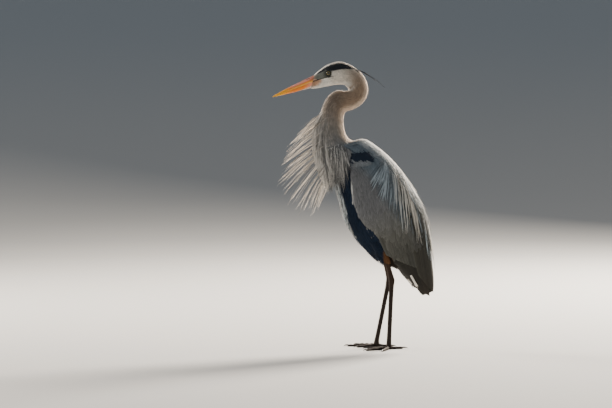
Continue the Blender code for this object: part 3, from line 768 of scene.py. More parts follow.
def skin_colours(points):
    """The markings' colours darkened as painted shade between the feathers, with bare legs below the thighs,
    dark lids and olive lores before the eyes.
    """
    t, theta = station_of(points)
    x, y, z = ((points - FEET) / MM).T
    leg = (1 - ease(z, 258, 268)) * (x < np.interp(z, (225, 240), (60, 24)))
    rust_edge = read(RUST_FROM_MM, z)
    rusty = ease(z, 256, 266) * (1 - ease(z, 276, 292)) * (1 - ease(x, 17, 23)) * (np.abs(y) > 14) * (x < 60)
    face, side = t < 3.2, np.abs(y) > 4
    edge = z - read(LORE_EDGE_MM, x)
    lore = ease(edge, -0.8, 0.4) * (1 - ease(z, read(CROWN_BAND_MM, x) - 2, read(CROWN_BAND_MM, x) + 1))
    lore = lore * (1 - ease(x, -158, -154)) * side
    r = np.hypot(x - EYE_FROM_FEET[0] / MM, z - EYE_FROM_FEET[2] / MM)
    bare = 1 - ease(beyond_gape_skin(x, z), -4.0, 4.0)
    gape = distance_to_line(x, z, GAPE_MM, GAPE_BACK_MM)
    return painted(
        markings(t, theta) * SKIN_PAINTED_SHADE,
        (BARE_LEG, leg),
        (BARE_LEG_LIGHT, leg * ease(z, 150, 250) * 0.6),
        (RUST, rusty * ease(x, rust_edge - 2, rust_edge + 2)),
        (WING_DARK, ease(x, 45, 65) * (1 - ease(z, 235, 262))),
        (LORE, face * lore),
        (LORE_FRONT, face * lore * (1 - ease(x, -209, -196))),
        (LORE_DARK, face * lore * (1 - ease(edge, 1.2, 3.8)) * ease(x, -202, -190)),
        (LORE_DARK, face * lore * (1 - ease(r, 9.0, 19.0)) * 0.7),
        (LORE_DARK, face * (1 - ease(r, 7.4, 9.0))),
        (GAPE_SKIN, face * bare * side * (1 - lore)),
        (GAPE_DARK, face * (1 - ease(gape, 0.6, 1.8))),
    )


skin_finish = skin_material()
rings, quads = closed_tube(body_rings)
skin = quad_object("skin", rings, quads, skin_finish)
limbs = []
for side, sign in (("left", 1), ("right", -1)):
    limbs.append(closed_tube(wing_bed(sign)))
    limbs.append(closed_tube(leg_rings(side)))
    for toe in TOE_LENGTHS_MM:
        limbs.append(closed_tube(toe_rings(side, toe)))
limb_collection = bpy.data.collections.new("limbs")
bpy.context.scene.collection.children.link(limb_collection)
for number, (rings, quads) in enumerate(limbs):
    limb = quad_object(f"limb_{number}", rings, quads, skin_finish)
    bpy.context.scene.collection.objects.unlink(limb)
    limb_collection.objects.link(limb)
union = skin.modifiers.new("one_skin", "BOOLEAN")
union.operation = "UNION"
union.solver = "MANIFOLD"
union.operand_type = "COLLECTION"
union.collection = limb_collection
united = bpy.data.meshes.new_from_object(skin.evaluated_get(bpy.context.evaluated_depsgraph_get()))
skin.modifiers.clear()
skin.data = united
skin.data.name = "skin"
for limb in list(limb_collection.objects):
    bpy.data.objects.remove(limb)
bpy.data.collections.remove(limb_collection)
skin_points = np.empty(len(united.vertices) * 3, np.float32)
united.vertices.foreach_get("co", skin_points)
tint_vertices(skin, skin_colours(skin_points.reshape(-1, 3).astype(float)))
united.shade_smooth()
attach(skin, "root")
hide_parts("head", "neck_nape", "neck_bend", "neck_crook", "neck_lower", "breast", "belly", "rump")
for side in ("left", "right"):
    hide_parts(f"thigh_{side}", f"shank_{side}", f"tarsus_{side}", f"foot_{side}_pad")
    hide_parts(*[f"toe_{side}_{toe}" for toe in TOE_LENGTHS_MM])


# ==== Claws ====
# Eight claws of curved horn, dark and worn pale at the points, each grown from the end of a toe and sunk
# a little into it.

CLAW_MM, HIND_CLAW_MM, CLAW_SIDES = 14.0, 19.0, 16
CLAW_TURN = 1.35

claw_horn = Finish("claw_horn", 0.34, Coat_Weight=0.2, Coat_Roughness=0.3)
grain = claw_horn.noise(claw_horn.place(), 900.0, 3.0)
claw_horn.feed("Base Color", claw_horn.blend(grain, (0.010, 0.009, 0.008), (0.055, 0.045, 0.036)))


def claw_rings(side, toe):
    """A claw: a narrowing tube whose path leaves the toe level and turns down as a quarter of a wave."""
    length = HIND_CLAW_MM if toe == "hind" else CLAW_MM
    q = np.linspace(0, 1, 22)
    reach = TOE_LENGTHS_MM[toe] - 2.0 + (length + 2.0) * np.sin(q * CLAW_TURN) / math.sin(CLAW_TURN)
    path, across = toe_path(side, toe, reach)
    path[:, 2] = 3.5 + 1.3 * np.sin(math.pi * q) - 2.6 * q**2
    radius = (2.5 * (1 - q) ** 0.75 + 0.18)[:, None] * MM
    rings = tube(path * MM + FEET, across, radius * 0.78, radius, CLAW_SIDES)
    rings[..., 2] = np.maximum(rings[..., 2], FEET[2] + 0.25 * MM)
    return rings


for side in ("left", "right"):
    for toe in TOE_LENGTHS_MM:
        rings, quads = closed_tube(claw_rings(side, toe))
        claw = quad_object(f"claw_horn_{side}_{toe}", rings, quads, claw_horn.material)
        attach(claw, "root")
        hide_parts(f"claw_{side}_{toe}")


# ==== Bill ====
# Two mandibles of horn rooted in the face that meet along the gape, yellow at the tip and orange behind,
# with a dusky ridge, a groove from each nostril and fine lines along the grain.

BILL_TIP_MM = np.array((-325.5, 730.0))
BILL_UP = np.array((9.0, 40.0)) / math.hypot(9.0, 40.0)
UPPER_DEPTH_MM, LOWER_DEPTH_MM, BILL_HALF_WIDTH_MM, BILL_END_MM = 18.0, 19.0, 9.5, 0.9
UPPER_TAPER, LOWER_TAPER, WIDTH_TAPER = 0.72, 0.88, 0.85
BILL_ROWS, BILL_SIDES = 150, 48


def bill_taper(rest, full, power):
    """A measure of the bill that falls to the tip's by a power of the distance from it."""
    return BILL_END_MM + (full - BILL_END_MM) * rest**power


def mandible(sign, depth, taper):
    """Half of the bill: an arch over the line of the gape, from inside the face to the rounded tip.

    The arch's height and half width fall to the tip by powers of the distance from it. The upper half has
    a ridge along its top and a groove with a nostril on each side; the lower is keeled underneath.
    """
    upper = sign > 0
    q = np.linspace(-0.06, 1, BILL_ROWS)[:, None]
    line = GAPE_MM + (BILL_TIP_MM - GAPE_MM) * q
    rest = np.clip(1 - q, 0, 1.06)
    half_width = bill_taper(rest, BILL_HALF_WIDTH_MM, WIDTH_TAPER)
    height = bill_taper(rest, depth, taper)
    phi = np.linspace(0, math.pi, BILL_SIDES // 2 + 1)[None]
    arch = np.sin(phi) ** (0.85 if upper else 0.95) * height
    ridge = bell(phi, math.pi / 2, 0.20) * (0.55 if upper else 0.0)
    side_angle = np.minimum(phi, math.pi - phi)
    groove = bell(side_angle, 0.95, 0.13) * ease(q, 0.0, 0.06) * (1 - ease(q, 0.5, 0.78))
    nostril = bell(side_angle, 0.93, 0.10) * np.exp(-(((q - 0.13) / 0.040) ** 4))
    seam = 1.0 - 0.05 * bell(side_angle, 0.0, 0.2)
    cut = (0.75 * groove + 1.5 * nostril) * upper
    across = -half_width * np.cos(phi) * seam * (1 - cut / half_width)
    up = sign * (0.06 + np.maximum(arch + ridge * rest - 0.35 * cut, 0.0))
    flat_y = np.linspace(1, -1, BILL_SIDES // 2 + 1)[None, 1:-1]
    closing = np.stack(np.broadcast_arrays(half_width * flat_y * 0.96, sign * (0.06 + 0 * flat_y)), -1)
    section = np.concatenate([np.stack([across, up], -1), closing], 1)
    x, z = (line[:, None, k] + BILL_UP[k] * section[..., 1] for k in (0, 1))
    dark = np.zeros(section.shape[:2])
    dark[:, : phi.size] = (np.clip(nostril * 1.3, 0, 1) + 0.35 * groove) * upper
    return np.stack([x, section[..., 0], z], -1) * MM + FEET, q, section, dark, height


BILL_YELLOW, BILL_ORANGE, BILL_PINK = (0.95, 0.43, 0.0), (0.86, 0.22, 0.008), (0.90, 0.36, 0.28)
# The second colour here is a painted highlight: a pale yellow line along each mandible's edge at the gape.
BILL_DUSK, BILL_GAPE_HIGHLIGHT = (0.26, 0.105, 0.060), (1.0, 0.58, 0.12)
NOSTRIL_DARK = (0.03, 0.02, 0.015)


def bill_colours(q, section, dark, height, sign):
    """Yellow at the tip, orange in the middle, a pink and dusky ridge above, and a pale painted highlight
    along the gape.
    """
    q = np.broadcast_to(q, dark.shape)
    level = np.abs(section[..., 1]) / height
    if sign > 0:
        shades = (
            (BILL_PINK, ease(level, 0.30, 0.75) * (1 - ease(q, 0.40, 0.72))),
            (BILL_DUSK, ease(level, 0.80, 0.98) * (1 - ease(q, 0.30, 0.62)) * 0.75),
            (BILL_DUSK, (1 - ease(q, 0.0, 0.14)) * 0.6),
            (BILL_GAPE_HIGHLIGHT, (1 - ease(level, 0.09, 0.26)) * 0.85),
        )
    else:
        shades = (
            (BILL_PINK, (1 - ease(q, 0.0, 0.22)) * 0.7),
            (BILL_GAPE_HIGHLIGHT, (1 - ease(level, 0.04, 0.10)) * 0.85),
        )
    tip = (BILL_YELLOW, ease(q, 0.45, 0.85))
    return painted(flat(BILL_ORANGE, *dark.shape), *shades, tip, (NOSTRIL_DARK, dark))


bill_horn = Finish("bill_horn", 0.40, Coat_Weight=0.12, Coat_Roughness=0.3, Specular_IOR_Level=0.3,
                   Subsurface_Weight=0.12, Subsurface_Scale=0.004)
place = bill_horn.place()
along_bill = bill_horn.node("Mapping", {"Vector": place, "Rotation": (0.0, math.radians(-20.5), 0.0),
                                        "Scale": (60.0, 1500.0, 1500.0)}).outputs["Vector"]
fibre = bill_horn.noise(along_bill, 1.0, 4.0)
level = bill_horn.maths("ADD", fibre, bill_horn.noise(place, 130.0, 5.0))
bill_horn.feed("Base Color", bill_horn.tinted(bill_horn.ranged(level, 0.6, 1.4, 0.86, 1.12)))
bill_horn.bump(fibre, 0.25, 0.0004)

for name, sign, depth, taper in (
    ("upper", 1, UPPER_DEPTH_MM, UPPER_TAPER),
    ("lower", -1, LOWER_DEPTH_MM, LOWER_TAPER),
):
    points, q, section, dark, height = mandible(sign, depth, taper)
    rings, quads = closed_tube(points)
    half = quad_object(f"bill_horn_{name}", rings, quads, bill_horn.material, sharp_deg=50)
    colours = bill_colours(q, section, dark, height, sign)
    colours = np.concatenate([colours[:1], colours, colours[-1:]])
    tint_vertices(half, colours.reshape(-1, 3))
    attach(half, "root")
    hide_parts(f"bill_{name}")


# ==== Eyes ====
# A glossy ball set in the lids on each side of the head, with a yellow iris dulled by painted shade, paler
# at its outer rim, a round black pupil and a dark edge where it meets the lids.

EYE_RADIUS_MM, OPENING_RADIUS_MM = 7.0, 6.3
EYE_ROWS, EYE_SIDES = 48, 64
# The iris is painted dull and dark, as painted shade over the eye.
SHADED_IRIS_STOPS = [  # share of the way from the pupil's middle to the lids, and colour
    (0.0, (0.002, 0.002, 0.002)), (0.43, (0.002, 0.002, 0.002)), (0.46, (0.09, 0.06, 0.010)),
    (0.60, (0.17, 0.13, 0.025)), (0.76, (0.21, 0.17, 0.05)), (0.84, (0.04, 0.03, 0.01)),
    (0.90, (0.004, 0.004, 0.003)),
]


def eye_points(sign):
    """A ball whose pole looks sideways, with a slight bulge of the cornea round the pole."""
    polar = np.linspace(0.0, math.pi, EYE_ROWS)[:, None] * 0.998 + 0.003
    phi = turns(EYE_SIDES)
    radius = EYE_RADIUS_MM * MM * (1 + 0.035 * bell(polar, 0.0, 0.55))
    centre = EYE * (1, 0, 1) + (0, FEET[1] - sign * EYE_FROM_FEET[1], 0)
    x = radius * np.sin(polar) * np.cos(phi)
    y = sign * radius * np.cos(polar) + 0 * phi
    z = radius * np.sin(polar) * np.sin(phi)
    return np.stack([x, y, z], -1) + centre


eye_wet = Finish("eye_wet", 0.06, Coat_Weight=1.0, Coat_Roughness=0.02, IOR=1.38)
ring = eye_wet.node("UVMap", uv_map="iris").outputs["UV"]
rays = eye_wet.node("Mapping", {"Vector": ring, "Scale": (6.0, 90.0, 1.0)}).outputs["Vector"]
threads = eye_wet.noise(rays, 1.0, 3.0)
iris = eye_wet.node("ValToRGB", {"Fac": eye_wet.node("SeparateXYZ", {"Vector": ring}).outputs["X"]})
for _ in SHADED_IRIS_STOPS[2:]:
    iris.color_ramp.elements.new(0.5)
for element, (stop, colour) in zip(iris.color_ramp.elements, SHADED_IRIS_STOPS):
    element.position = stop
    element.color = (*colour, 1)
flecks = eye_wet.ranged(threads, 0.0, 1.0, 0.70, 1.2)
eye_wet.feed("Base Color", eye_wet.times(iris.outputs["Color"], flecks))


def vertex_uv(obj, name, uv):
    """A UV map from one place per vertex."""
    mesh = obj.data
    corner = np.empty(len(mesh.loops), np.int32)
    mesh.loops.foreach_get("vertex_index", corner)
    layer = mesh.uv_layers.new(name=name)
    layer.data.foreach_set("uv", uv[corner].astype(np.float32).ravel())


for side, sign in (("left", -1), ("right", 1)):
    rings, quads = closed_tube(eye_points(sign))
    eye = quad_object(f"eye_ball_{side}", rings, quads, eye_wet.material)
    polar = np.pad(np.linspace(0, 1, EYE_ROWS), 1, "edge")[:, None]
    opening = math.asin(OPENING_RADIUS_MM / EYE_RADIUS_MM) / math.pi
    turn = np.arange(EYE_SIDES) / EYE_SIDES
    iris_uv = np.stack(np.broadcast_arrays(np.clip(polar / opening, 0, 1), turn), -1)
    vertex_uv(eye, "iris", iris_uv.reshape(-1, 2))
    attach(eye, "root")
    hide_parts(f"eye_{side}")


# ==== Feathers ====
# How they are made. Each is one thin closed vane with its root sunk in the skin: rings across its shaft,
# wide in the middle and drawn in at root and tip. They lie along the body, each row over the next.

SMALL = np.array(((-1.0, 0.0), (0.0, 1.0), (1.0, 0.0), (0.0, -1.0)))  # across the vane, and up
LARGE = np.array(
    ((-1.0, 0.0), (-0.5, 0.8), (0.0, 1.0), (0.5, 0.8), (1.0, 0.0), (0.5, -0.8), (0.0, -1.0), (-0.5, -0.8))
)
BODY_OUTLINE = ((0.0, 0.35), (0.3, 0.82), (0.65, 1.0), (0.9, 0.66), (1.0, 0.12))
LOOSE_OUTLINE = ((0.0, 0.45), (0.3, 0.95), (0.6, 0.85), (0.85, 0.45), (1.0, 0.06))
LANCE_OUTLINE = ((0.0, 0.40), (0.2, 0.85), (0.45, 1.0), (0.7, 0.74), (0.88, 0.40), (1.0, 0.05))
STRAND_OUTLINE = ((0.0, 0.6), (0.2, 0.95), (0.4, 1.0), (0.6, 0.85), (0.78, 0.6), (0.92, 0.34), (1.0, 0.06))
BAKE_PATCH = 0.003
MOST_TRIANGLES = 190_000
LEAST_STRETCH = 0.006
PALEST = 0.95
BACK_TO_FRONT = np.array((0.0, 1.57, 3.14))
USUAL_STATION, USUAL_RADIAN = 0.03, 0.04  # metres on the body


def lines(start, end, q):
    """Places on straight lines from each start to its end, at shares q of the way."""
    return start[:, None] + (end - start)[:, None] * q[..., None]


def along_rows(share, shares, *rows):
    """One value from each row at a share, straight between the given shares."""
    return np.stack([np.interp(share, shares, row) for row in rows], -1)


def laid(surface, t, theta, turn, length, q, low, high, layer):
    """Spines that follow a surface. Each starts at its root and runs its length, turned from the stations.

    Its steps in station and angle are the length's two parts over the surface's stretch there. Its height
    above the surface, or above the layer that lies on it, goes from low to high along it.
    """
    both = slopes(surface, t, theta)
    stretch_t, stretch_a = (np.maximum(np.linalg.norm(s, axis=-1), LEAST_STRETCH)[:, None] for s in both)
    length, turn = length[:, None], (turn * np.sign(theta))[:, None]
    stations = t[:, None] + q * length * np.cos(turn) / stretch_t
    angles = theta[:, None] + q * length * np.sin(turn) / stretch_a
    height = low[:, None] + (high - low)[:, None] * q**1.4
    if layer is not None:
        height = height + layer(stations, angles)
    return *raised(surface, stations, angles, height), stations, angles


def vanes(spine, up, half_width, thickness, droop, section):
    """Closed rings along each spine: across by the half width, up by the thickness, edges drooping.

    Across the vane the thickness falls as one minus the square of the way to the edge, and the droop
    grows as that square.
    """
    along = np.gradient(spine, axis=1)
    across = unit(np.cross(along, up))
    rise = unit(np.cross(across, along))
    v, side = section.T
    reach = half_width[..., None] * v
    lift = np.asarray(thickness)[..., None] * side - droop * reach * v
    ways = ((across, reach), (rise, lift))
    return spine[:, :, None] + sum(way[:, :, None] * far[..., None] for way, far in ways)


def vane_faces(rows, section):
    """The faces of one vane: its sides, and its two ends closed by four-cornered faces."""
    sides = len(section)
    cap = np.array(((0, 1, 2, 3),) if sides == 4 else ((0, 1, 2, 3), (0, 3, 4, 7), (4, 5, 6, 7)))
    return np.concatenate([grid_faces(rows, sides, True), cap[:, ::-1], cap + (rows - 1) * sides])


class Coat:
    """Vanes gathered for one piece of the coat, until the piece is made."""

    def __init__(self):
        self.batches = []

    def lay(self, spine, up, half_mm, thick_mm, droop, colours, roots, q, section=SMALL):
        """Keeps a batch of vanes along spines, coloured by vane or by vane and row, with roots as (u, v)."""
        points = vanes(spine, up, half_mm * MM, thick_mm * MM, droop, section)
        if colours.ndim == 2:
            colours = np.repeat(colours[:, None], len(q), 1)
        self.batches.append((points, np.clip(colours, 0, PALEST), roots, q, section))

    def lay_on_form(self, stations, angles, rise_mm, half_mm, thick_mm, droop, colours, q, section=SMALL):
        """Keeps a batch of vanes along stations and angles of the body's form, at a rise from it."""
        spine, up = raised(form, stations, angles, rise_mm * MM)
        roots = unwrapped(stations[:, 0], angles[:, 0])
        self.lay(spine, up, half_mm, thick_mm, droop, colours, roots, q, section)

    def make(self, name, material, slot_name, *nodes):
        """Makes the piece, split in two or more where it would have too many triangles."""
        parts, count = [[]], 0
        for points, colours, roots, q, section in self.batches:
            per_vane = 2 * len(vane_faces(len(q), section))
            start = 0
            while start < len(points):
                room = (MOST_TRIANGLES - count) // per_vane
                if room < 1:
                    parts.append([])
                    count = 0
                    continue
                end = min(len(points), start + room)
                parts[-1].append((points[start:end], colours[start:end], roots[start:end], q, section))
                count += (end - start) * per_vane
                start = end
        made = []
        for number, part in enumerate(parts):
            label = name if len(parts) == 1 else f"{name}_{number + 1}"
            made.append(feather_piece(label, part, material))
            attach(made[-1], "root")
        if nodes:
            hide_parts(*nodes)


def feather_piece(name, batches, material):
    """One mesh from batches of vanes, with its colours, its vane map and its map for baking."""
    points, quads, tints, vane_uv, bake_uv, offset = [], [], [], [], [], 0
    for ring_places, colours, roots, q, section in batches:
        shape = ring_places.shape[:3]
        count, rows, sides = shape
        starts = offset + np.arange(count) * rows * sides
        quads.append((vane_faces(rows, section)[None] + starts[:, None, None]).reshape(-1, 4))
        points.append(ring_places.reshape(-1, 3))
        tints.append(np.broadcast_to(colours[:, :, None], (*shape, 3)).reshape(-1, 3))
        across = np.broadcast_to(section[:, 0] / 2, shape)
        along = np.broadcast_to(q[:, None], shape)
        vane_uv.append(np.stack([across + 0.5, along], -1).reshape(-1, 2))
        patch = np.stack([across, along - 0.5], -1) * BAKE_PATCH + roots[:, None, None]
        bake_uv.append(patch.reshape(-1, 2))
        offset += count * rows * sides
    obj = quad_object(name, np.concatenate(points), np.concatenate(quads), material, sharp_deg=62)
    tint_vertices(obj, np.concatenate(tints))
    vertex_uv(obj, "vane", np.concatenate(vane_uv))
    vertex_uv(obj, "OFBake", np.concatenate(bake_uv))
    return obj


def unwrapped(t, theta):
    """The place of a root on the skin's own unwrap: angle round the body, and station along it."""
    u = np.mod(theta / math.tau + 0.5, 1.0)
    return np.stack([0.01 + 0.98 * u, 0.01 + 0.98 * np.clip(t, 0, LAST_STATION) / LAST_STATION], -1)


def everywhere(t, _):
    """True for every root."""
    return t > 0


def staggered(start, end, pitch_mm, gap_mm, keep, surface=form, jitter=0.3):
    """Roots in rows across the body, each row shifted by half a step, thinned by keep(t, theta)."""
    stations, angles = [], []
    t, row, step = start, 0, 0.05
    while t < end:
        ahead = np.linalg.norm(surface(t + step, BACK_TO_FRONT) - surface(t, BACK_TO_FRONT), axis=-1)
        ring = surface(t, np.linspace(0, math.tau, 33))
        around = np.linalg.norm(np.diff(ring, axis=0), axis=-1).sum()
        count = max(int(around / (gap_mm * MM)), 4)
        stations.append(np.full(count, t))
        angles.append(((np.arange(count) + 0.5 * (row % 2)) / count * math.tau) - math.pi)
        t += pitch_mm * MM / (ahead.max() / step)
        row += 1
    t, a = np.concatenate(stations), np.concatenate(angles)
    t = np.clip(t + rng.normal(0, jitter, t.shape) * pitch_mm * MM / USUAL_STATION, start, end)
    a = a + rng.normal(0, jitter, a.shape) * gap_mm * MM / USUAL_RADIAN
    chosen = keep(t, a)
    return t[chosen], a[chosen]


def varied(colours, amount):
    """Colours, each feather a little lighter or darker than its neighbours."""
    return np.clip(colours * (1 + rng.normal(0, amount, (len(colours), 1))), 0.0, PALEST)


def feather_material(name, shaft_tone, fringe_tone, barb_depth, roughness, sheen, mottling=0.13,
                     specular=0.3, fringe_from=0.33):
    """A vane's finish: slanting barbs, a shaft, a fringe at the edge and the tip, and a soft mottle."""
    look = Finish(name, roughness, Sheen_Weight=sheen, Sheen_Roughness=0.45, Specular_IOR_Level=specular)
    vane_uv = look.node("UVMap", uv_map="vane").outputs["UV"]
    parts = look.node("SeparateXYZ", {"Vector": vane_uv}).outputs
    off_shaft = look.maths("ABSOLUTE", look.maths("SUBTRACT", parts["X"], 0.5))
    slant = look.maths("MULTIPLY", off_shaft, -26.0)
    comb = look.maths("SINE", look.maths("MULTIPLY_ADD", parts["Y"], 60.0, slant))
    barbs = look.ranged(comb, -1.0, 1.0, 1 - barb_depth, 1 + barb_depth)
    mottle = look.ranged(look.noise(look.place(), 85.0, 4.0), 0.3, 0.7, 1 - mottling, 1 + mottling)
    shaft = look.ranged(off_shaft, 0.02, 0.07, shaft_tone, 1.0)
    fringe = look.ranged(off_shaft, fringe_from, 0.5, 1.0, fringe_tone)
    shade = barbs
    for part in (mottle, shaft, fringe):
        shade = look.maths("MULTIPLY", shade, part)
    look.feed("Base Color", look.tinted(shade))
    look.bump(comb, 0.3, 0.0002)
    return look.material


soft_feather = feather_material("soft_feather", 1.06, 1.10, 0.05, 0.75, 0.28)
plume_feather = feather_material("plume_feather", 1.15, 0.92, 0.04, 0.66, 0.25)
contour_feather = feather_material("contour_feather", 0.80, 1.38, 0.06, 0.70, 0.10, 0.06)
flight_feather = feather_material("flight_feather", 0.62, 2.1, 0.08, 0.66, 0.02, 0.08, 0.2, 0.42)
belly_feather = feather_material("belly_feather", 1.06, 1.10, 0.05, 0.80, 0.0, 0.10, 0.15)


def short_coat(coat, t, theta, length_mm, half_mm, lift_mm, outline, colour_noise=0.10, turn=None, tone=None,
               surface=form, layer=None, roots=None, depth_mm=None, thick_mm=0.16, droop=0.30, wander=1.0):
    """Lays short feathers at given roots and keeps them in a coat.

    Each has a length, a half width, a turn and a lift of its own, near the given ones. Where no tone is
    given it takes the marking's colour at a place that wanders a little from its own.
    """
    q, widths = np.array(outline).T
    count = len(t)
    length = length_mm * rng.uniform(0.86, 1.12, count) * MM
    half_mm = half_mm * rng.uniform(0.88, 1.12, count)
    turn = rng.normal(0, 0.10, count) if turn is None else turn + rng.normal(0, 0.06, count)
    low = np.full(count, -0.9 * MM * (read(COAT_DEPTH_MM, t) if depth_mm is None else depth_mm))
    high = (lift_mm + rng.uniform(-0.25, 0.25, count)) * MM
    spine, up, stations, angles = laid(surface, t, theta, turn, length, q, low, high, layer)
    if tone is None:
        shown = int(np.argmin(np.abs(q - 0.62)))
        tone = markings(stations[:, shown] + wander * rng.normal(0, 0.13, count),
                        angles[:, shown] + wander * rng.normal(0, 0.035, count))
    # Painted shade: each feather is darker towards its root, where the feathers over it cover it.
    colours = varied(tone, colour_noise)[:, None] * (0.80 + 0.24 * q)[:, None]
    roots = unwrapped(t, theta) if roots is None else roots
    coat.lay(spine, up, half_mm[:, None] * widths, thick_mm * (0.5 + 0.5 * widths), droop, colours, roots, q)


# ==== Head feathers ====
# The smallest, rooted in the skin over crown, cheeks and chin, with none on the lores or over the eyes,
# and loose ones under the root of the bill.

CHIN_COUNT = 900


def feathered_face(t, theta):
    """True where a feather grows: off the lores and clear of the eye, the gape and the bill's root."""
    place = form(t, theta)
    x, z = seen(place)
    side = np.abs(np.sin(theta)) > 0.35
    lore = (x < -159) & (z > read(LORE_EDGE_MM, x) - 0.4) & (z < read(CROWN_BAND_MM, x + 3) - 0.5)
    gape = distance_to_line(x, z, GAPE_MM, GAPE_BACK_MM)
    bare = beyond_gape_skin(x, z) < -3.0
    return ~(side & (lore | (eye_distance(place) / MM < 8.2) | (gape < 1.6) | bare))


def chin(t, theta):
    """The underside of the lower mandible: t from 0 at its feathers' front to 1 inside the throat."""
    t, theta = paired(t, theta)
    q = 0.35 - 0.41 * t
    rest = np.clip(1 - q, 0, 1.06)
    up = -bill_taper(rest, LOWER_DEPTH_MM, LOWER_TAPER) * np.abs(np.cos(theta)) ** 0.95
    y = -bill_taper(rest, BILL_HALF_WIDTH_MM, WIDTH_TAPER) * np.sin(theta)
    x, z = (GAPE_MM[k] + (BILL_TIP_MM[k] - GAPE_MM[k]) * q + BILL_UP[k] * up for k in (0, 1))
    return np.stack([x, y, z], -1) * MM + FEET


head_coat = Coat()
t, theta = staggered(0.05, 1.6, 1.7, 1.5, feathered_face)
near_gape = (1 - ease(beyond_gape_skin(*seen(form(t, theta))), -4.0, 6.0)) * (np.abs(np.sin(theta)) > 0.3)
tone = mixed(markings(t, theta), GAPE_SKIN, near_gape)
short_coat(head_coat, t, theta, 5.0 + 1.5 * t, 0.95, 0.2, LOOSE_OUTLINE, tone=tone, thick_mm=0.12)
t, theta = staggered(1.6, 5.6, 2.3, 1.9, feathered_face)
short_coat(head_coat, t, theta, 9.0 + 0.6 * (t - 1.6), 1.15, 0.3, LOOSE_OUTLINE, thick_mm=0.14, wander=0.15)
t = rng.uniform(0, 0.95, CHIN_COUNT)
theta = rng.uniform(-1, 1, CHIN_COUNT) * (0.20 + 0.85 * t)
tone = mixed(flat(WHITE, CHIN_COUNT), GAPE_SKIN, (np.abs(theta) > 0.85) * 0.25)
short_coat(head_coat, t, theta, 11.0, 0.75, rng.uniform(1.0, 4.2, CHIN_COUNT), LOOSE_OUTLINE, tone=tone,
           surface=chin, depth_mm=0.1, thick_mm=0.1, roots=np.stack([0.5 + 0.02 * theta, 0.02 * t], -1))
head_coat.make("coat_head", soft_feather, "head")


# ==== Neck feathers ====
# Narrow and hair-like, rooted in the skin all round the neck, with dark streaks down the front and a few
# paler ones beside them.

neck_coat = Coat()
t, theta = staggered(5.6, 16.2, 3.5, 2.4, everywhere)
tone = markings(t + rng.normal(0, 0.2, len(t)), theta + rng.normal(0, 0.05, len(t)))
streak = (np.abs(np.degrees(theta)) > 154) * (t > 8.5) * (rng.uniform(0, 1, len(t)) < 0.38)
pale = ease(np.abs(theta), 1.0, 2.4) * (rng.uniform(0, 1, len(t)) < 0.16) * ease(t, 8, 13)
tone = painted(tone, (BLACK, streak * 0.85), (NECK_FRONT, pale * 0.6))
short_coat(neck_coat, t, theta, 15.0 + 0.6 * (t - 5.6), 1.3, 0.5, LOOSE_OUTLINE, 0.10, tone=tone)
neck_coat.make("coat_neck", soft_feather, "neck")


# ==== Breast, belly and flanks ====
# Broader feathers rooted in the skin of the trunk, long and streaked down the middle, with loose pale ones
# hanging before the legs and short brown ones behind them.

STRAY_PALE = (0.50, 0.47, 0.42)
STRAY_COUNT = 110


def below_wing(t, a):
    """True off the wings and the mantle, with a little overlap under the wing's edge."""
    return (np.abs(np.degrees(a)) > read(WING_LOWER_DEG, t) - 8) | (t < 16.4)


def on_flank(t, a):
    """True below the wings, up to the long feathers of the middle."""
    return below_wing(t, a) & (np.abs(a) < 2.45)


def streaked(t, theta):
    """The markings, with the middle of the breast in long streaks: one tone for each band of angles."""
    middle = ease(np.abs(np.degrees(theta)), 142, 150)
    band = np.floor((np.degrees(theta) % 360 + 1.5 * np.sin(2.1 * t)) / 4.0).astype(int)
    dark = np.isin(band % 7, (0, 2, 5)) | (rng.uniform(0, 1, len(t)) < 0.12)
    return mixed(markings(t, theta + rng.normal(0, 0.03, len(t))), BLUE_BLACK, middle * dark * 0.9)


trunk_coat = Coat()
for start, end, pitch, gap, keep, length, half, lift, outline, noise, depth in (
    (15.6, 18.2, 5.5, 4.0, on_flank, 26.0, 2.3, 0.8, BODY_OUTLINE, 0.14, None),
    (18.2, 22.2, 7.5, 5.2, on_flank, 36.0, 3.0, 0.6, BODY_OUTLINE, 0.16, 4.5),
    (15.8, 22.2, 6.5, 2.4, lambda t, a: np.abs(a) > 2.38, 48.0, 1.25, 1.0, LANCE_OUTLINE, 0.14, 4.5),
):
    t, theta = staggered(start, end, pitch, gap, keep)
    tone = streaked(t, theta)
    short_coat(trunk_coat, t, theta, length, half, lift, outline, noise, depth_mm=depth, tone=tone)
t = rng.uniform(18.0, 22.4, STRAY_COUNT)
theta = rng.normal(math.pi, 0.20, STRAY_COUNT)
tone = mixed(flat(BLUE_BLACK, STRAY_COUNT) * 2, STRAY_PALE, (t < 20.6) * 0.9)
short_coat(trunk_coat, t, theta, rng.uniform(24, 38, STRAY_COUNT), 0.5, rng.uniform(2, 5, STRAY_COUNT),
           STRAND_OUTLINE, 0.1, tone=tone, depth_mm=2.0)
t, theta = staggered(22.2, 23.9, 6.5, 5.0, everywhere, surface=trunk)
under = ease(np.abs(theta), 1.7, 2.2)
tone = mixed(markings(t, theta), WING_BROWN, under)
short_coat(trunk_coat, t, theta, 30.0 - 14.0 * under, 3.2 - 1.2 * under, 0.3, BODY_OUTLINE, 0.12, tone=tone,
           surface=trunk)
for depth in (7.0, 1.5):
    t, theta = staggered(20.6, 22.6, 6.0, 4.2, lambda t, a: np.abs(a) > 1.95)
    tone = mixed(flat(BLUE_BLACK, len(t)), WING_BROWN, ease(t, 21.8, 22.4))
    short_coat(trunk_coat, t, theta, 38.0 - 10.5 * (t - 20.6), 2.2, 1.2 - depth * 0.4, LANCE_OUTLINE, 0.2,
               depth_mm=depth, tone=tone)
trunk_coat.make("coat_trunk", belly_feather, "trunk")


# ==== Mantle ====
# Blue-grey contour feathers over the back, small at the shoulders and larger behind, rooted in the
# skin between the wings.

mantle_coat = Coat()


def on_mantle(t, a):
    """True between the two wings."""
    return np.abs(np.degrees(a)) < read(WING_UPPER_DEG, t) + 6


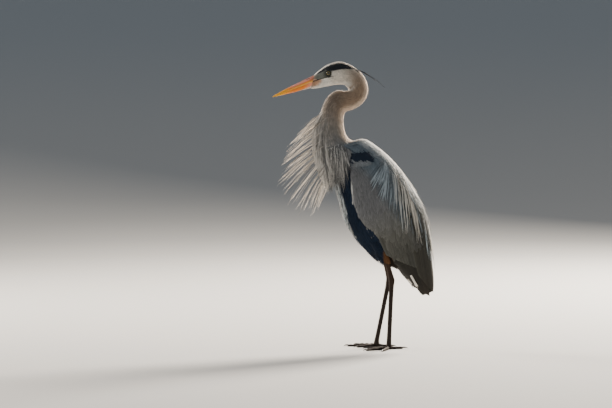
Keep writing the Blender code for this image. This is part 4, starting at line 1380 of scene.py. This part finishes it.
for start, end, pitch, gap, half in ((15.9, 18.6, 4.4, 3.4, 2.4), (18.6, 23.2, 6.5, 5.4, 3.8)):
    t, theta = staggered(start, end, pitch, gap, on_mantle)
    length = np.interp(t, (15.9, 18.5, 18.7, 23.2), (15.0, 22.0, 29.0, 36.0))
    short_coat(mantle_coat, t, theta, length, half, 0.3, BODY_OUTLINE, 0.10, layer=layer_height,
               depth_mm=3.0, thick_mm=0.2, wander=0.3)
mantle_coat.make("coat_mantle", contour_feather, "mantle", "mantle")


# ==== Wings ====
# Rows of coverts rooted in the folded wing, growing backwards, each row over the next and the last
# over the long feathers of the wing.

WING_STATION, WING_RADIAN = 0.055, 0.07  # metres on the wing
COVERT_ROWS = (  # first and last station, pitch, gap, length and half width in mm, hang, reach in degrees
    (19.6, 21.4, 4.5, 4.2, 22.0, 2.8, 0.8, 24.0),
    (16.95, 18.0, 3.8, 3.0, 14.0, 2.0, 0.0, 180.0),
    (18.0, 19.3, 5.5, 3.9, 27.0, 2.6, 0.4, 180.0),
    (19.3, 20.3, 7.0, 5.2, 42.0, 3.4, 0.8, 180.0),
    (20.3, 22.3, 9.0, 7.4, 60.0, 4.6, 1.0, 180.0),
)


def plumb(t, theta):
    """The turn that makes a feather hang straight down, seen from the side."""
    along, around = slopes(form, t, np.abs(theta))
    size = along[..., 0] * around[..., 2] - along[..., 2] * around[..., 0]
    down, back = -along[..., 0] / size, around[..., 0] / size
    turn = np.arctan2(down * np.linalg.norm(around, axis=-1), back * np.linalg.norm(along, axis=-1))
    return np.clip(turn, -0.2, 0.5)


for side, sign in (("left", 1), ("right", -1)):
    wing_coat = Coat()
    for start, end, pitch, gap, length, half, hang, reach in COVERT_ROWS:

        def tips_on_wing(t, a):
            """True on this side's wing, within reach of its lower edge, if the tip stays above that edge."""
            deg, lower = np.degrees(a) * sign, read(WING_LOWER_DEG, t)
            on_wing = (deg < lower - 1.5) & (deg > read(WING_UPPER_DEG, t) - 4)
            turn = hang * plumb(t, a)
            tip_t = t + length * MM * np.cos(turn) / WING_STATION
            tip_a = a + sign * length * MM * np.sin(turn) / WING_RADIAN
            above = np.degrees(tip_a) * sign < read(WING_LOWER_DEG, tip_t) + 2
            return on_wing & (deg > lower - reach) & above

        t, theta = staggered(start, end, pitch, gap, tips_on_wing, jitter=0.18)
        down = np.abs(np.degrees(theta)) / 128
        turn = hang * plumb(t, theta) + (1 - hang) * (0.05 - 0.12 * down)
        short_coat(wing_coat, t, theta, length, half, 0.1, BODY_OUTLINE, 0.09, turn=turn, wander=0.2,
                   layer=layer_height, depth_mm=3.0, thick_mm=0.2)
    covered = (f"wing_{side}_shoulder", f"wing_{side}_coverts")
    wing_coat.make(f"coat_wing_{side}", contour_feather, "wing", *covered)


# ==== Flight feathers ====
# The long stiff feathers of the folded wing, rooted in its rear edge: tertials over secondaries over
# primaries.

FLIGHT_ROWS, FLIGHT_THICK_MM, FLIGHT_BOW_MM = 18, 0.28, 3.0
FLIGHT_MM = (  # count, two outer roots, two outer tips, half width, share of the layer, colour, darkening
    (11, ((-6, 314), (62, 330)), ((95, 174), (129, 152)), 6.5, (0.34, 0.50), (0.0165, 0.0155, 0.0130), 0.0),
    (12, ((-18, 352), (88, 352)), ((12, 272), (112, 226)), 6.6, (0.62, 0.72), (0.062, 0.063, 0.056), 0.45),
    (9, ((64, 400), (112, 372)), ((104, 206), (137, 163)), 6.5, (0.78, 0.94), (0.030, 0.029, 0.024), 0.0),
)


def side_view(t, c):
    """Where the side view shows a station at a cosine of the angle, and the form's row there."""
    row = through(FORM_TABLE, t)
    x, z = ((row[..., k] * (1 + c) + row[..., k + 2] * (1 - c)) / 2 for k in (0, 1))
    return x, z, row


def seen_from_side(path):
    """The station and angle where the form shows the places of a path in its side view, in millimetres.

    At one station the side view is a straight line, so Newton's method on the station and the cosine of
    the angle starts from the nearest of a grid of guesses.
    """
    x, z = path[..., 0], path[..., 1]

    def error(t, c):
        """How far the side view's place is from the wanted one."""
        at_x, at_z, row = side_view(t, c)
        return at_x - x, at_z - z, row

    guess_t, guess_c = (g.ravel() for g in np.meshgrid(np.linspace(16, 27.8, 60), np.linspace(-1, 1, 21)))
    guess_x, guess_z, _ = side_view(guess_t, guess_c)
    best = np.hypot(x[..., None] - guess_x, z[..., None] - guess_z).argmin(-1)
    t, c = guess_t[best], guess_c[best]
    for _ in range(6):
        ex, ez, row = error(t, c)
        ax, az, _ = error(t + 0.01, c)
        tx, tz = (ax - ex) / 0.01, (az - ez) / 0.01
        cx, cz = (row[..., 0] - row[..., 2]) / 2, (row[..., 1] - row[..., 3]) / 2
        size = tx * cz - tz * cx
        t = np.clip(t - np.clip((ex * cz - ez * cx) / size, -0.5, 0.5), 16, LAST_STATION)
        c = np.clip(c - np.clip((tx * ez - tz * ex) / size, -0.3, 0.3), -0.9, 0.999)
    return t, np.arccos(c)


def rounded_tip(q, share):
    """Half widths that end in a quarter of an ellipse over the last share of the vane."""
    tip = np.clip((1 - q) / share, 0, 1)
    return np.sqrt(tip * (2 - tip))


for side, sign in (("left", 1), ("right", -1)):
    flight_coat = Coat()
    q = np.linspace(0, 1, FLIGHT_ROWS)
    widths = (0.75 + 0.25 * np.clip(q / 0.3, 0, 1)) * rounded_tip(q, 0.09) + 0.02
    for count, roots, tips, half, level, tone, darkening in FLIGHT_MM:
        share = np.linspace(0, 1, count)[:, None]
        first, last = (np.array(ends[0]) * (1 - share) + np.array(ends[1]) * share for ends in (roots, tips))
        bow = FLIGHT_BOW_MM * np.sin(math.pi * q)
        stations, angles = seen_from_side(lines(first, last, q) - bow[:, None] * (0.8, 0.4))
        height_mm = (level[0] + (level[1] - level[0]) * share) * np.maximum(read(LAYER_MM, stations), 2.0)
        half_mm = half * widths * np.interp(stations, (24, 27, 28), (1.0, 0.80, 0.65))
        base = varied(np.array(tone) * (1 - darkening * share), 0.10)
        colours = mixed(np.repeat(base[:, None], len(q), 1), WING_BROWN, ease(stations, 24.5, 27.5) * 0.7)
        flight_coat.lay_on_form(stations, sign * angles, height_mm, half_mm, FLIGHT_THICK_MM, 0.12, colours,
                                q, LARGE)
    flight_coat.make(f"flight_{side}", flight_feather, "flight", f"wing_{side}_flight")


# ==== Tail and vent ====
# Twelve plain feathers rooted in the end of the trunk and folded in a stack under the wings, with dark and
# white down beneath them and a white tuft on each side.

TAIL_ROWS_MM = np.array([TAIL_ROOT, (92, 219, 64, 199, 17), (98, 174, 89, 168, 9)], float)
TAIL_COUNT, TAIL_ROWS, VENT_COUNT, TUFT_COUNT = 12, 14, 420, 26


def tail_form(t, theta):
    """The folded tail: t from 0 at its root to 2 at its end."""
    t, theta = paired(t, theta)
    return ring_points(through(TAIL_ROWS_MM, t), theta)


tail_coat = Coat()
q = np.linspace(0, 1, TAIL_ROWS)
angle = np.linspace(-1, 1, TAIL_COUNT) * 1.15
spine, up = raised(tail_form, *paired(0.2 + 1.78 * q, angle[:, None]), -1.0 * MM)
tone = varied(flat(WING_GREY, TAIL_COUNT) * 0.7, 0.06)
roots = unwrapped(np.full(TAIL_COUNT, 24.0), angle)
tail_coat.lay(spine, up, 7.0 * rounded_tip(q, 0.12) + 0.2, 0.25, 0.1, tone, roots, q, LARGE)
tail_coat.make("tail_feathers", flight_feather, "flight", "tail")

vent_coat = Coat()
t = np.maximum(rng.uniform(-0.35, 1.3, VENT_COUNT), rng.uniform(-0.14, 0.05, VENT_COUNT))
theta = rng.choice((-1, 1), VENT_COUNT) * rng.uniform(1.3, math.pi, VENT_COUNT)
white = ease(t, 0.60, 0.75) * (1 - ease(t, 1.05, 1.2)) * (np.abs(theta) > 2.1)
tone = mixed(flat(WING_DARK, VENT_COUNT), WHITE, white)
short_coat(vent_coat, t, theta, 24.0 - 5.0 * t, 2.0, 1.2, LOOSE_OUTLINE, 0.08, tone=tone, surface=tail_form,
           depth_mm=1.0, roots=unwrapped(23.9 + t, theta))
q, widths = np.array(LANCE_OUTLINE).T
for sign in (1, -1):
    root = np.array((77.0, 215.0)) + rng.normal(0, 1.2, (TUFT_COUNT, 2))
    end = np.array((97.0, 180.0)) + rng.normal(0, 1.5, (TUFT_COUNT, 2))
    stations, angles = seen_from_side(lines(root, end, q * rng.uniform(0.8, 1.0, (TUFT_COUNT, 1))))
    rise_mm = 5.0 + rng.uniform(0, 0.8, (TUFT_COUNT, 1))
    tone = varied(flat(WHITE, TUFT_COUNT), 0.06)
    vent_coat.lay_on_form(stations, sign * angles, rise_mm, 1.5 * widths, 0.15, 0.2, tone, q)
vent_coat.make("coat_vent", soft_feather, "trunk")


# ==== Thighs ====
# Short rust-brown feathers rooted in the thigh down to the bare shank, blue-black above, with dark
# tufts of the flank hanging in front of each thigh.

THIGH_RADIUS_MM = [(240, 6.6), (251, 8.6), (262, 11.0), (276, 15.5), (290, 19.5), (310, 23.5), (326, 25.0)]
THIGH_TOP_MM, FLANK_TUFTS = 326.0, 110

thigh_coat = Coat()
q, widths = np.array(LANCE_OUTLINE).T
for side, sign in (("left", -1), ("right", 1)):

    def thigh(t, a):
        """The thigh's surface: t is how far below the thigh's top in centimetres, a the turn round it."""
        t, a = paired(t, a)
        height = THIGH_TOP_MM - 10.0 * t
        x, y = leg_line(side, height)
        radius = read(THIGH_RADIUS_MM, height)
        return np.stack([x + radius * np.cos(a), y + 0.84 * radius * np.sin(a), height], -1) * MM + FEET

    t, theta = staggered(1.5, 7.2, 3.0, 2.6, everywhere, surface=thigh)
    x, z = seen(thigh(t + 0.6, theta))
    rust_edge = read(RUST_FROM_MM, z)
    dark = np.maximum(1 - ease(t, 3.4, 4.6), 1 - ease(x, rust_edge - 2.5, rust_edge + 2.5))
    tone = mixed(flat(RUST, len(t)), BLUE_BLACK, dark)
    short_coat(thigh_coat, t, theta, 13.0 - 0.5 * t, 1.6, 0.2, LOOSE_OUTLINE, 0.16, tone=tone, surface=thigh,
               depth_mm=1.6, roots=np.stack([0.5 + 0.2 * sign + 0.06 * theta, 0.2 + 0.08 * t], -1))

    share = rng.uniform(0, 1, FLANK_TUFTS)
    across = sign * rng.uniform(14, 46, FLANK_TUFTS)
    root = np.stack([-31 + 30 * share, across * 0.9, 302 - 14 * share], -1)
    root = root + rng.normal(0, 2.0, (FLANK_TUFTS, 3)) * (1.0, 1.0, 5.0)
    end = np.stack([-20 + 15 * share, across * 0.92, 262 - 20 * share], -1)
    end = end + rng.normal(0, 3.0, (FLANK_TUFTS, 3))
    path = lines(root, end, q) + np.array((-3.0, 0.0, -2.0)) * np.sin(math.pi * q)[:, None]
    up = np.array((-0.8, 0.6 * sign, -0.3)) + rng.normal(0, 0.2, (FLANK_TUFTS, 1, 3))
    half_mm = rng.uniform(0.9, 1.6, FLANK_TUFTS)[:, None] * widths
    tone = varied(flat(BLUE_BLACK, FLANK_TUFTS), 0.2)
    at = np.stack([0.5 + 0.2 * sign + 0.02 * share, 0.2 + 0.1 * share], -1)
    thigh_coat.lay(path * MM + FEET, up, half_mm, 0.15, 0.2, tone, at, q)
thigh_coat.make("coat_thighs", belly_feather, "thigh")


# ==== Breast plumes ====
# Narrow grey and white feathers rooted in the lower neck, that hang over the breast in a bib and spread at
# its sides over the bends of the wings.

BIB_MM = np.array([  # x and z at the back, x and z at the front, half width
    (-118, 678, -177, 712, 24.0), (-121, 660, -191, 682, 25.5), (-119, 640, -203, 652, 28.0),
    (-115, 612, -209, 618, 32.0), (-110, 585, -210, 580, 36.0), (-110, 550, -204, 547, 38.0),
    (-115, 522, -193, 512, 35.0), (-122, 494, -180, 480, 28.0), (-132, 466, -168, 450, 20.0),
    (-140, 440, -158, 424, 14.0),
], float)
BIB_DARK, BIB_SIDE_DARK, BIB_PALE = (0.125, 0.123, 0.120), (0.100, 0.100, 0.099), (0.56, 0.54, 0.505)
BIB_LAYERS = ((500, 9.0, 0.30), (1000, 0.5, 0.45))  # count, depth in mm, share of pale ones
BIB_BANDS, SIDE_COUNT = 120, 300
SIDE_SHARE = (0.0, 0.5, 0.8, 1.0)
SIDE_ROOT_MM = ((-168, -149, -139, -127), (610, 622, 620, 612))
SIDE_TIP_MM = ((-160, -132, -113, -98), (468, 462, 466, 522))


def bib(t, theta):
    """The bib's outer shape, from the front of the neck down to its plumes' tips."""
    t, theta = paired(t, theta)
    return ring_points(through(BIB_MM, np.clip(t, 0, 9)), theta)


plume_coat = Coat()
bib_bands = rng.uniform(0, 1, BIB_BANDS)
for count, depth, share_pale in BIB_LAYERS:
    t = 5.4 * rng.uniform(0, 1, count) ** 0.9
    theta = rng.choice((-1, 1), count) * np.radians(rng.uniform(66, 180, count))
    deg = np.degrees(np.abs(theta))
    length = np.minimum(rng.uniform(55, 115, count), 31.0 * (8.3 - t) - 12.0 * (deg < 100))
    number = np.degrees(theta) % 360 / (360 / BIB_BANDS) + 0.4 * np.sin(1.7 * t)
    band = bib_bands[number.astype(int) % BIB_BANDS]
    pale = ease(0.75 * band + 0.25 * rng.uniform(0, 1, count), 0.90 - share_pale, 1.06 - share_pale)
    tone = painted(flat(BIB_DARK, count), (BIB_PALE, pale), (NECK_LOW, (1 - ease(t, 0.6, 3.0)) * 0.75))
    turn = np.interp(deg, (66, 112, 150, 180), (-0.22, 0.0, 0.14, 0.0))
    short_coat(plume_coat, t, theta, length, rng.uniform(0.8, 1.4, count), 3.0 - depth * 1.2, LANCE_OUTLINE,
               0.08, turn=turn, tone=tone, surface=bib, depth_mm=depth + 3.0, droop=0.2, thick_mm=0.15,
               roots=unwrapped(11.5 + 0.8 * t, theta))

q, widths = np.array(LANCE_OUTLINE).T
for sign in (1, -1):
    share = rng.uniform(0, 1, SIDE_COUNT)
    root = along_rows(share, SIDE_SHARE, *SIDE_ROOT_MM) + rng.uniform(-1, 1, (SIDE_COUNT, 2)) * (7.0, 34.0)
    tip = along_rows(share, SIDE_SHARE, *SIDE_TIP_MM) + rng.normal(0, 3.0, (SIDE_COUNT, 2))
    tip = root + (tip - root) * rng.uniform(0.62, 1.06, SIDE_COUNT)[:, None]
    stations, angles = seen_from_side(lines(root, tip, q))
    angles = sign * angles
    rise_mm = -4.5 + 9.0 * q**0.6 + rng.uniform(-0.4, 0.8, SIDE_COUNT)[:, None]
    half_mm = rng.uniform(0.5, 0.95, SIDE_COUNT)[:, None] * widths
    band = bib_bands[(share * 34).astype(int)]
    pale = ease(0.7 * band + 0.3 * rng.uniform(0, 1, SIDE_COUNT), 0.54, 0.70)
    tone = varied(mixed(flat(BIB_SIDE_DARK, SIDE_COUNT), BIB_PALE, pale), 0.1)
    # Painted shade at the roots, where the plumes come out from under the neck's coat.
    colours = tone[:, None] * np.interp(q, (0, 0.3, 1), (0.7, 0.9, 1.05))[:, None]
    blend = np.broadcast_to(1 - ease(q, 0.1, 0.5), stations.shape)
    colours = mixed(colours, markings(stations, angles), blend)
    plume_coat.lay_on_form(stations, angles, rise_mm, half_mm, 0.15, 0.2, colours, q)


# ==== Blown locks ====
# Long strands rooted at the front and the sides of the bib, part of the same piece, that stream forward
# and down in a fan.

FAN_SHARE = (0.0, 0.20, 0.35, 0.50, 0.62, 0.75, 0.85, 1.0)
FAN_ROOT_MM = ((-188, -198, -202, -204, -202, -192, -180, -170), (682, 644, 605, 570, 552, 523, 502, 494))
FAN_DOWN_DEG = (42, 40, 38, 37, 50, 61, 67, 76)
FAN_LENGTH_MM = (96, 116, 128, 140, 158, 154, 132, 86)
BIB_HALF_WIDTH_MM = (22, 25, 30, 34, 35, 33, 29, 25)
FAN_CREAM, FAN_WHITE, FAN_SHADE_DARK = (0.74, 0.65, 0.55), (0.95, 0.90, 0.82), (0.13, 0.115, 0.10)
FAN_GROUPS = (  # locks, strands, spread, half width in mm, least reach, share of dark ones painted as shade, beside the bib
    (25, 5, 0.40, 0.42, 0.80, 0.08, False),
    (18, 3, 0.80, 0.40, 0.40, 0.70, False),
    (40, 1, 0.40, 0.36, 0.72, 0.20, False),
    (20, 3, 0.45, 0.36, 0.60, 0.35, True),
)


def blown(share, reach, root_drift, tip_drift, y_root, y_tip, arch):
    """Strands of the fan: from a root to a tip at the fan's angle there, bowed in an arch of half a wave."""
    down = np.radians(np.interp(share, FAN_SHARE, FAN_DOWN_DEG))
    length = (np.interp(share, FAN_SHARE, FAN_LENGTH_MM) * reach)[:, None]
    root = along_rows(share, FAN_SHARE, *FAN_ROOT_MM)
    tip = root + tip_drift - length * np.stack([np.cos(down), np.sin(down)], -1)
    bow = arch[:, None, None] * np.sin(math.pi * q**0.8)[:, None]
    path = lines(root + root_drift, tip, q) + bow * np.stack([-np.sin(down), np.cos(down)], -1)[:, None]
    y = y_root[:, None] + (y_tip - y_root)[:, None] * q
    return np.stack([path[..., 0], y, path[..., 1]], -1) * MM + FEET


q, widths = np.array(STRAND_OUTLINE).T
for locks, strands, spread, half_mm, least, shade_share, beside in FAN_GROUPS:
    count = locks * strands
    share = np.clip(np.linspace(0.0, 1.0, locks) + rng.normal(0, 0.012, locks), 0, 1)
    share = np.repeat(share, strands)
    room = np.minimum(1.0, 0.45 + 1.4 * share)
    lock_y = np.repeat(rng.uniform(-24, 24, locks), strands) * room
    reach = np.repeat(rng.uniform(least, 1.04, locks), strands) * (1 - 0.16 * rng.uniform(0, 1, count) ** 2)
    arch = np.repeat(rng.normal(3.5, 2.2, locks), strands) + rng.normal(0, 0.8, count)
    root_drift = rng.normal(0, 3.4, (count, 2)) * spread + (11.0, 4.0)
    tip_drift = np.repeat(rng.normal(0, 4.0, (locks, 2)), strands, 0) + rng.normal(0, 0.7, (count, 2))
    y_tip = lock_y * 1.15 + rng.normal(0, 0.9, count) + np.repeat(rng.normal(0, 3, locks), strands)
    y_root = lock_y * 0.6 + rng.normal(0, 3.0, count) * spread
    if beside:
        outward = np.repeat(rng.choice((-1, 1), locks), strands)
        wide = np.interp(share, FAN_SHARE, BIB_HALF_WIDTH_MM)
        y_root, y_tip = outward * wide, outward * (0.75 * wide + rng.normal(0, 1.5, count))
        root_drift = root_drift + np.repeat(rng.uniform(2, 22, locks), strands)[:, None] * (1.0, 0.6)
        tip_drift = tip_drift + (6.0, -8.0)
    spine = blown(share, reach, root_drift, tip_drift, y_root, y_tip, arch)
    up = np.array((0.25, -1.0, 0.3)) + rng.normal(0, 0.5, (count, 1, 3))
    half = rng.uniform(0.8, 1.3, count) * half_mm
    tone = mixed(flat(FAN_CREAM, count), FAN_WHITE, rng.uniform(0, 1, count))
    # Dark strands among the bright ones are painted shade, the shadows between the locks.
    tone = mixed(tone, FAN_SHADE_DARK, (rng.uniform(0, 1, count) < shade_share) * 0.95)
    # Painted shade: each strand is darker towards its root.
    colours = tone[:, None] * np.interp(q, (0, 0.25, 1), (0.62, 0.92, 1.0))[:, None]
    around = np.sign(y_root) * (math.pi - 0.3 - 0.5 * rng.uniform(0, 1, count))
    at = unwrapped(13 + 3.4 * share, around)
    plume_coat.lay(spine, up, half[:, None] * widths, 0.16, 0.1, colours, at, q)
plume_coat.make("plumes_breast", plume_feather, "plume", "breast_plumes")


# ==== Nape plumes ====
# Five long thin black feathers on each side, rooted in the skin at the back of the head, that trail out
# behind it.

NAPE_LINE_MM = np.array([(-90, 810), (-70, 804), (-50, 793), (-26, 777), (0, 756)], float)
NAPE_REACH = np.array((1.0, 0.93, 0.72, 0.55, 0.45))
NAPE_SPREAD_MM = np.array((0, 2.2, -1.2, 1.0, 3.0))
NAPE_COUNT = len(NAPE_REACH)

nape_coat = Coat()
q = np.linspace(0, 1, 12)
for side, sign in (("left", -1), ("right", 1)):
    spread = rng.normal(0, 1.5, (NAPE_COUNT, 1)) + NAPE_SPREAD_MM[:, None]
    line = through(NAPE_LINE_MM, 4 * NAPE_REACH[:, None] * q)
    x = line[..., 0] - 0.3 * spread * q**1.2
    z = line[..., 1] + spread * q**1.2
    y = sign * (4.0 + 3.0 * q) + rng.normal(0, 1.2, (NAPE_COUNT, 1)) * q
    spine = np.stack([x, y, z], -1) * MM + FEET
    roots = unwrapped(np.full(NAPE_COUNT, 5.0), np.full(NAPE_COUNT, -sign * 0.2))
    nape_coat.lay(spine, np.array((0.2, -1.0 * sign, 0.9)), 0.70 * (1 - 0.85 * q**1.5) + 0.08, 0.25, 0.2,
                  flat(BLACK, NAPE_COUNT) * 1.5, roots, q)
nape_coat.make("plumes_nape", plume_feather, "black", "nape_plume_left", "nape_plume_right")


# ==== Scapular plumes ====
# Long silvery feathers rooted in the skin of the shoulders, that run along the back and hang over the
# wings.

HANG_SHARE = (0.0, 0.2, 0.4, 0.6, 0.8, 1.0)  # from the front of the hanging plumes to the ones on the back
HANG_ROOT_MM = ((-12, 0, 10, 28, 48, 62), (528, 518, 510, 492, 470, 470))
HANG_TIP_MM = ((-47, -29, 2, 40, 76, 112), (478, 448, 400, 350, 314, 282))
HANG_RISE_MM = ((-4, -8, -14, -26, -44, -62), (16, 30, 52, 76, 108, 130))
HANG_GROUPS = ((120, 1, 1.1, 0.0), (66, 4, 0.50, 0.80))  # locks, strands, half width in mm, share of pale
BACK_LOCKS, BACK_STRANDS, BACK_REACH_DEG = 38, 4, 44.0
BACK_STATION = 0.054  # metres on the back
GOLDEN_STEP = 0.618034
BACK_BLUE = (0.100, 0.128, 0.150)
PLUME_PALE, PLUME_CREAM = (0.38, 0.445, 0.49), (0.74, 0.70, 0.63)

scapular_coat = Coat()
q = np.linspace(0, 1, 11)
widths = read(LANCE_OUTLINE, q)


def add_plumes(stations, angles, half_mm, tone, lift_mm):
    """Keeps long plumes that lie over the wing's layer along the given stations and angles."""
    count = len(stations)
    stray = (rng.uniform(0, 1, count) < 0.05) * rng.uniform(2, 8, count)
    rise_mm = lift_mm[:, None] * (0.2 + 0.8 * q) - 1.2 * (1 - q) ** 2 + stray[:, None] * q**2
    rise_mm = rise_mm + layer_height(stations, angles) / MM
    colours = tone[:, None] * (0.74 + 0.40 * q)[:, None]
    scapular_coat.lay_on_form(stations, angles, rise_mm, half_mm[:, None] * widths, 0.18, 0.25, colours, q)


def plume_tones(pale, light_start, light_end, light, dark):
    """Blue-grey plumes that turn to the wing's dark by a share, and pale ones between two tones."""
    count = len(pale)
    dark = mixed(flat(BACK_BLUE, count) * 0.8, WING_DARK, dark)
    return varied(mixed(dark, mixed(flat(light_start, count), light_end, light), pale), 0.1)


for side, sign in (("left", 1), ("right", -1)):
    # Along the back: locks of strands that run with the stations, cream near the middle line.
    locks, strands = BACK_LOCKS, BACK_STRANDS
    count = locks * strands
    t_lock = np.sort(rng.uniform(16.8, 22.8, locks))
    deg_lock = BACK_REACH_DEG * rng.uniform(0.04, 1, locks)
    spread = rng.normal(0, 1, count)
    deg_tip = np.abs(np.repeat(deg_lock, strands) + 0.6 * rng.normal(0, 1, count))
    deg_root = np.repeat(deg_lock * rng.uniform(0.55, 0.85, locks), strands) + 2.0 * spread
    t_root = np.repeat(t_lock, strands) + rng.normal(0, 0.25, count)
    t_tip = np.repeat(t_lock + rng.uniform(80, 140, locks) * MM / BACK_STATION, strands)
    t_tip = np.minimum(t_tip, 25.0 + rng.normal(0, 0.3, count)) + rng.normal(0, 0.12, count)
    stations = t_root[:, None] + (t_tip - t_root)[:, None] * q
    angles = sign * np.radians(np.abs(deg_root[:, None] + (deg_tip - deg_root)[:, None] * q**1.2))
    pale = np.repeat(rng.uniform(0, 1, locks) < 0.58, strands) * rng.uniform(0.75, 1, count)
    tone = plume_tones(pale, PLUME_CREAM, PLUME_PALE, ease(deg_tip, 18, 40), ease(t_tip, 19.5, 21.5))
    half_mm = rng.uniform(0.55, 1.0, count)
    add_plumes(stations, angles, half_mm, tone, np.repeat(rng.uniform(0.3, 1.8, locks), strands))

    # Over the wing: a dark layer, and pale locks that converge to points with the wing between them.
    for locks, strands, half_mm, share_pale in HANG_GROUPS:
        count = locks * strands
        share = np.repeat((np.arange(locks) * GOLDEN_STEP % 1.0) ** 0.9, strands)
        up_by = np.repeat(rng.uniform(0, 1, locks) ** 1.3, strands)
        reach = np.repeat(rng.uniform(0.74, 1.08, locks), strands) * rng.uniform(0.93, 1.0, count)
        first, last, rise = (
            along_rows(share, HANG_SHARE, *table) for table in (HANG_ROOT_MM, HANG_TIP_MM, HANG_RISE_MM)
        )
        start = first + rise * up_by[:, None] + np.repeat(rng.normal(0, 2.0, (locks, 2)), strands, 0)
        root = start + rng.normal(0, 2.3, (count, 2))
        tip = start + (last - first) * reach[:, None] + rng.normal(0, 0.7, (count, 2))
        arch = np.repeat(rng.normal(4.0, 2.0, locks), strands) * ease(share, 0.0, 0.5)
        path = lines(root, tip, q**0.9)
        path[..., 0] += arch[:, None] * np.sin(math.pi * q)
        stations, angles = seen_from_side(path)
        pale = np.repeat(rng.uniform(0, 1, locks) < share_pale, strands) * rng.uniform(0.7, 1, count)
        tone = plume_tones(pale, PLUME_PALE, PLUME_CREAM, ease(share, 0.5, 0.9), ease(share, 0.55, 0.9))
        lift = np.repeat(rng.uniform(0.4, 1.6, locks), strands) + (0.6 if share_pale else -0.2)
        add_plumes(stations, sign * angles, rng.uniform(0.75, 1.25, count) * half_mm, tone, lift)
scapular_coat.make("plumes_back", plume_feather, "mantle")
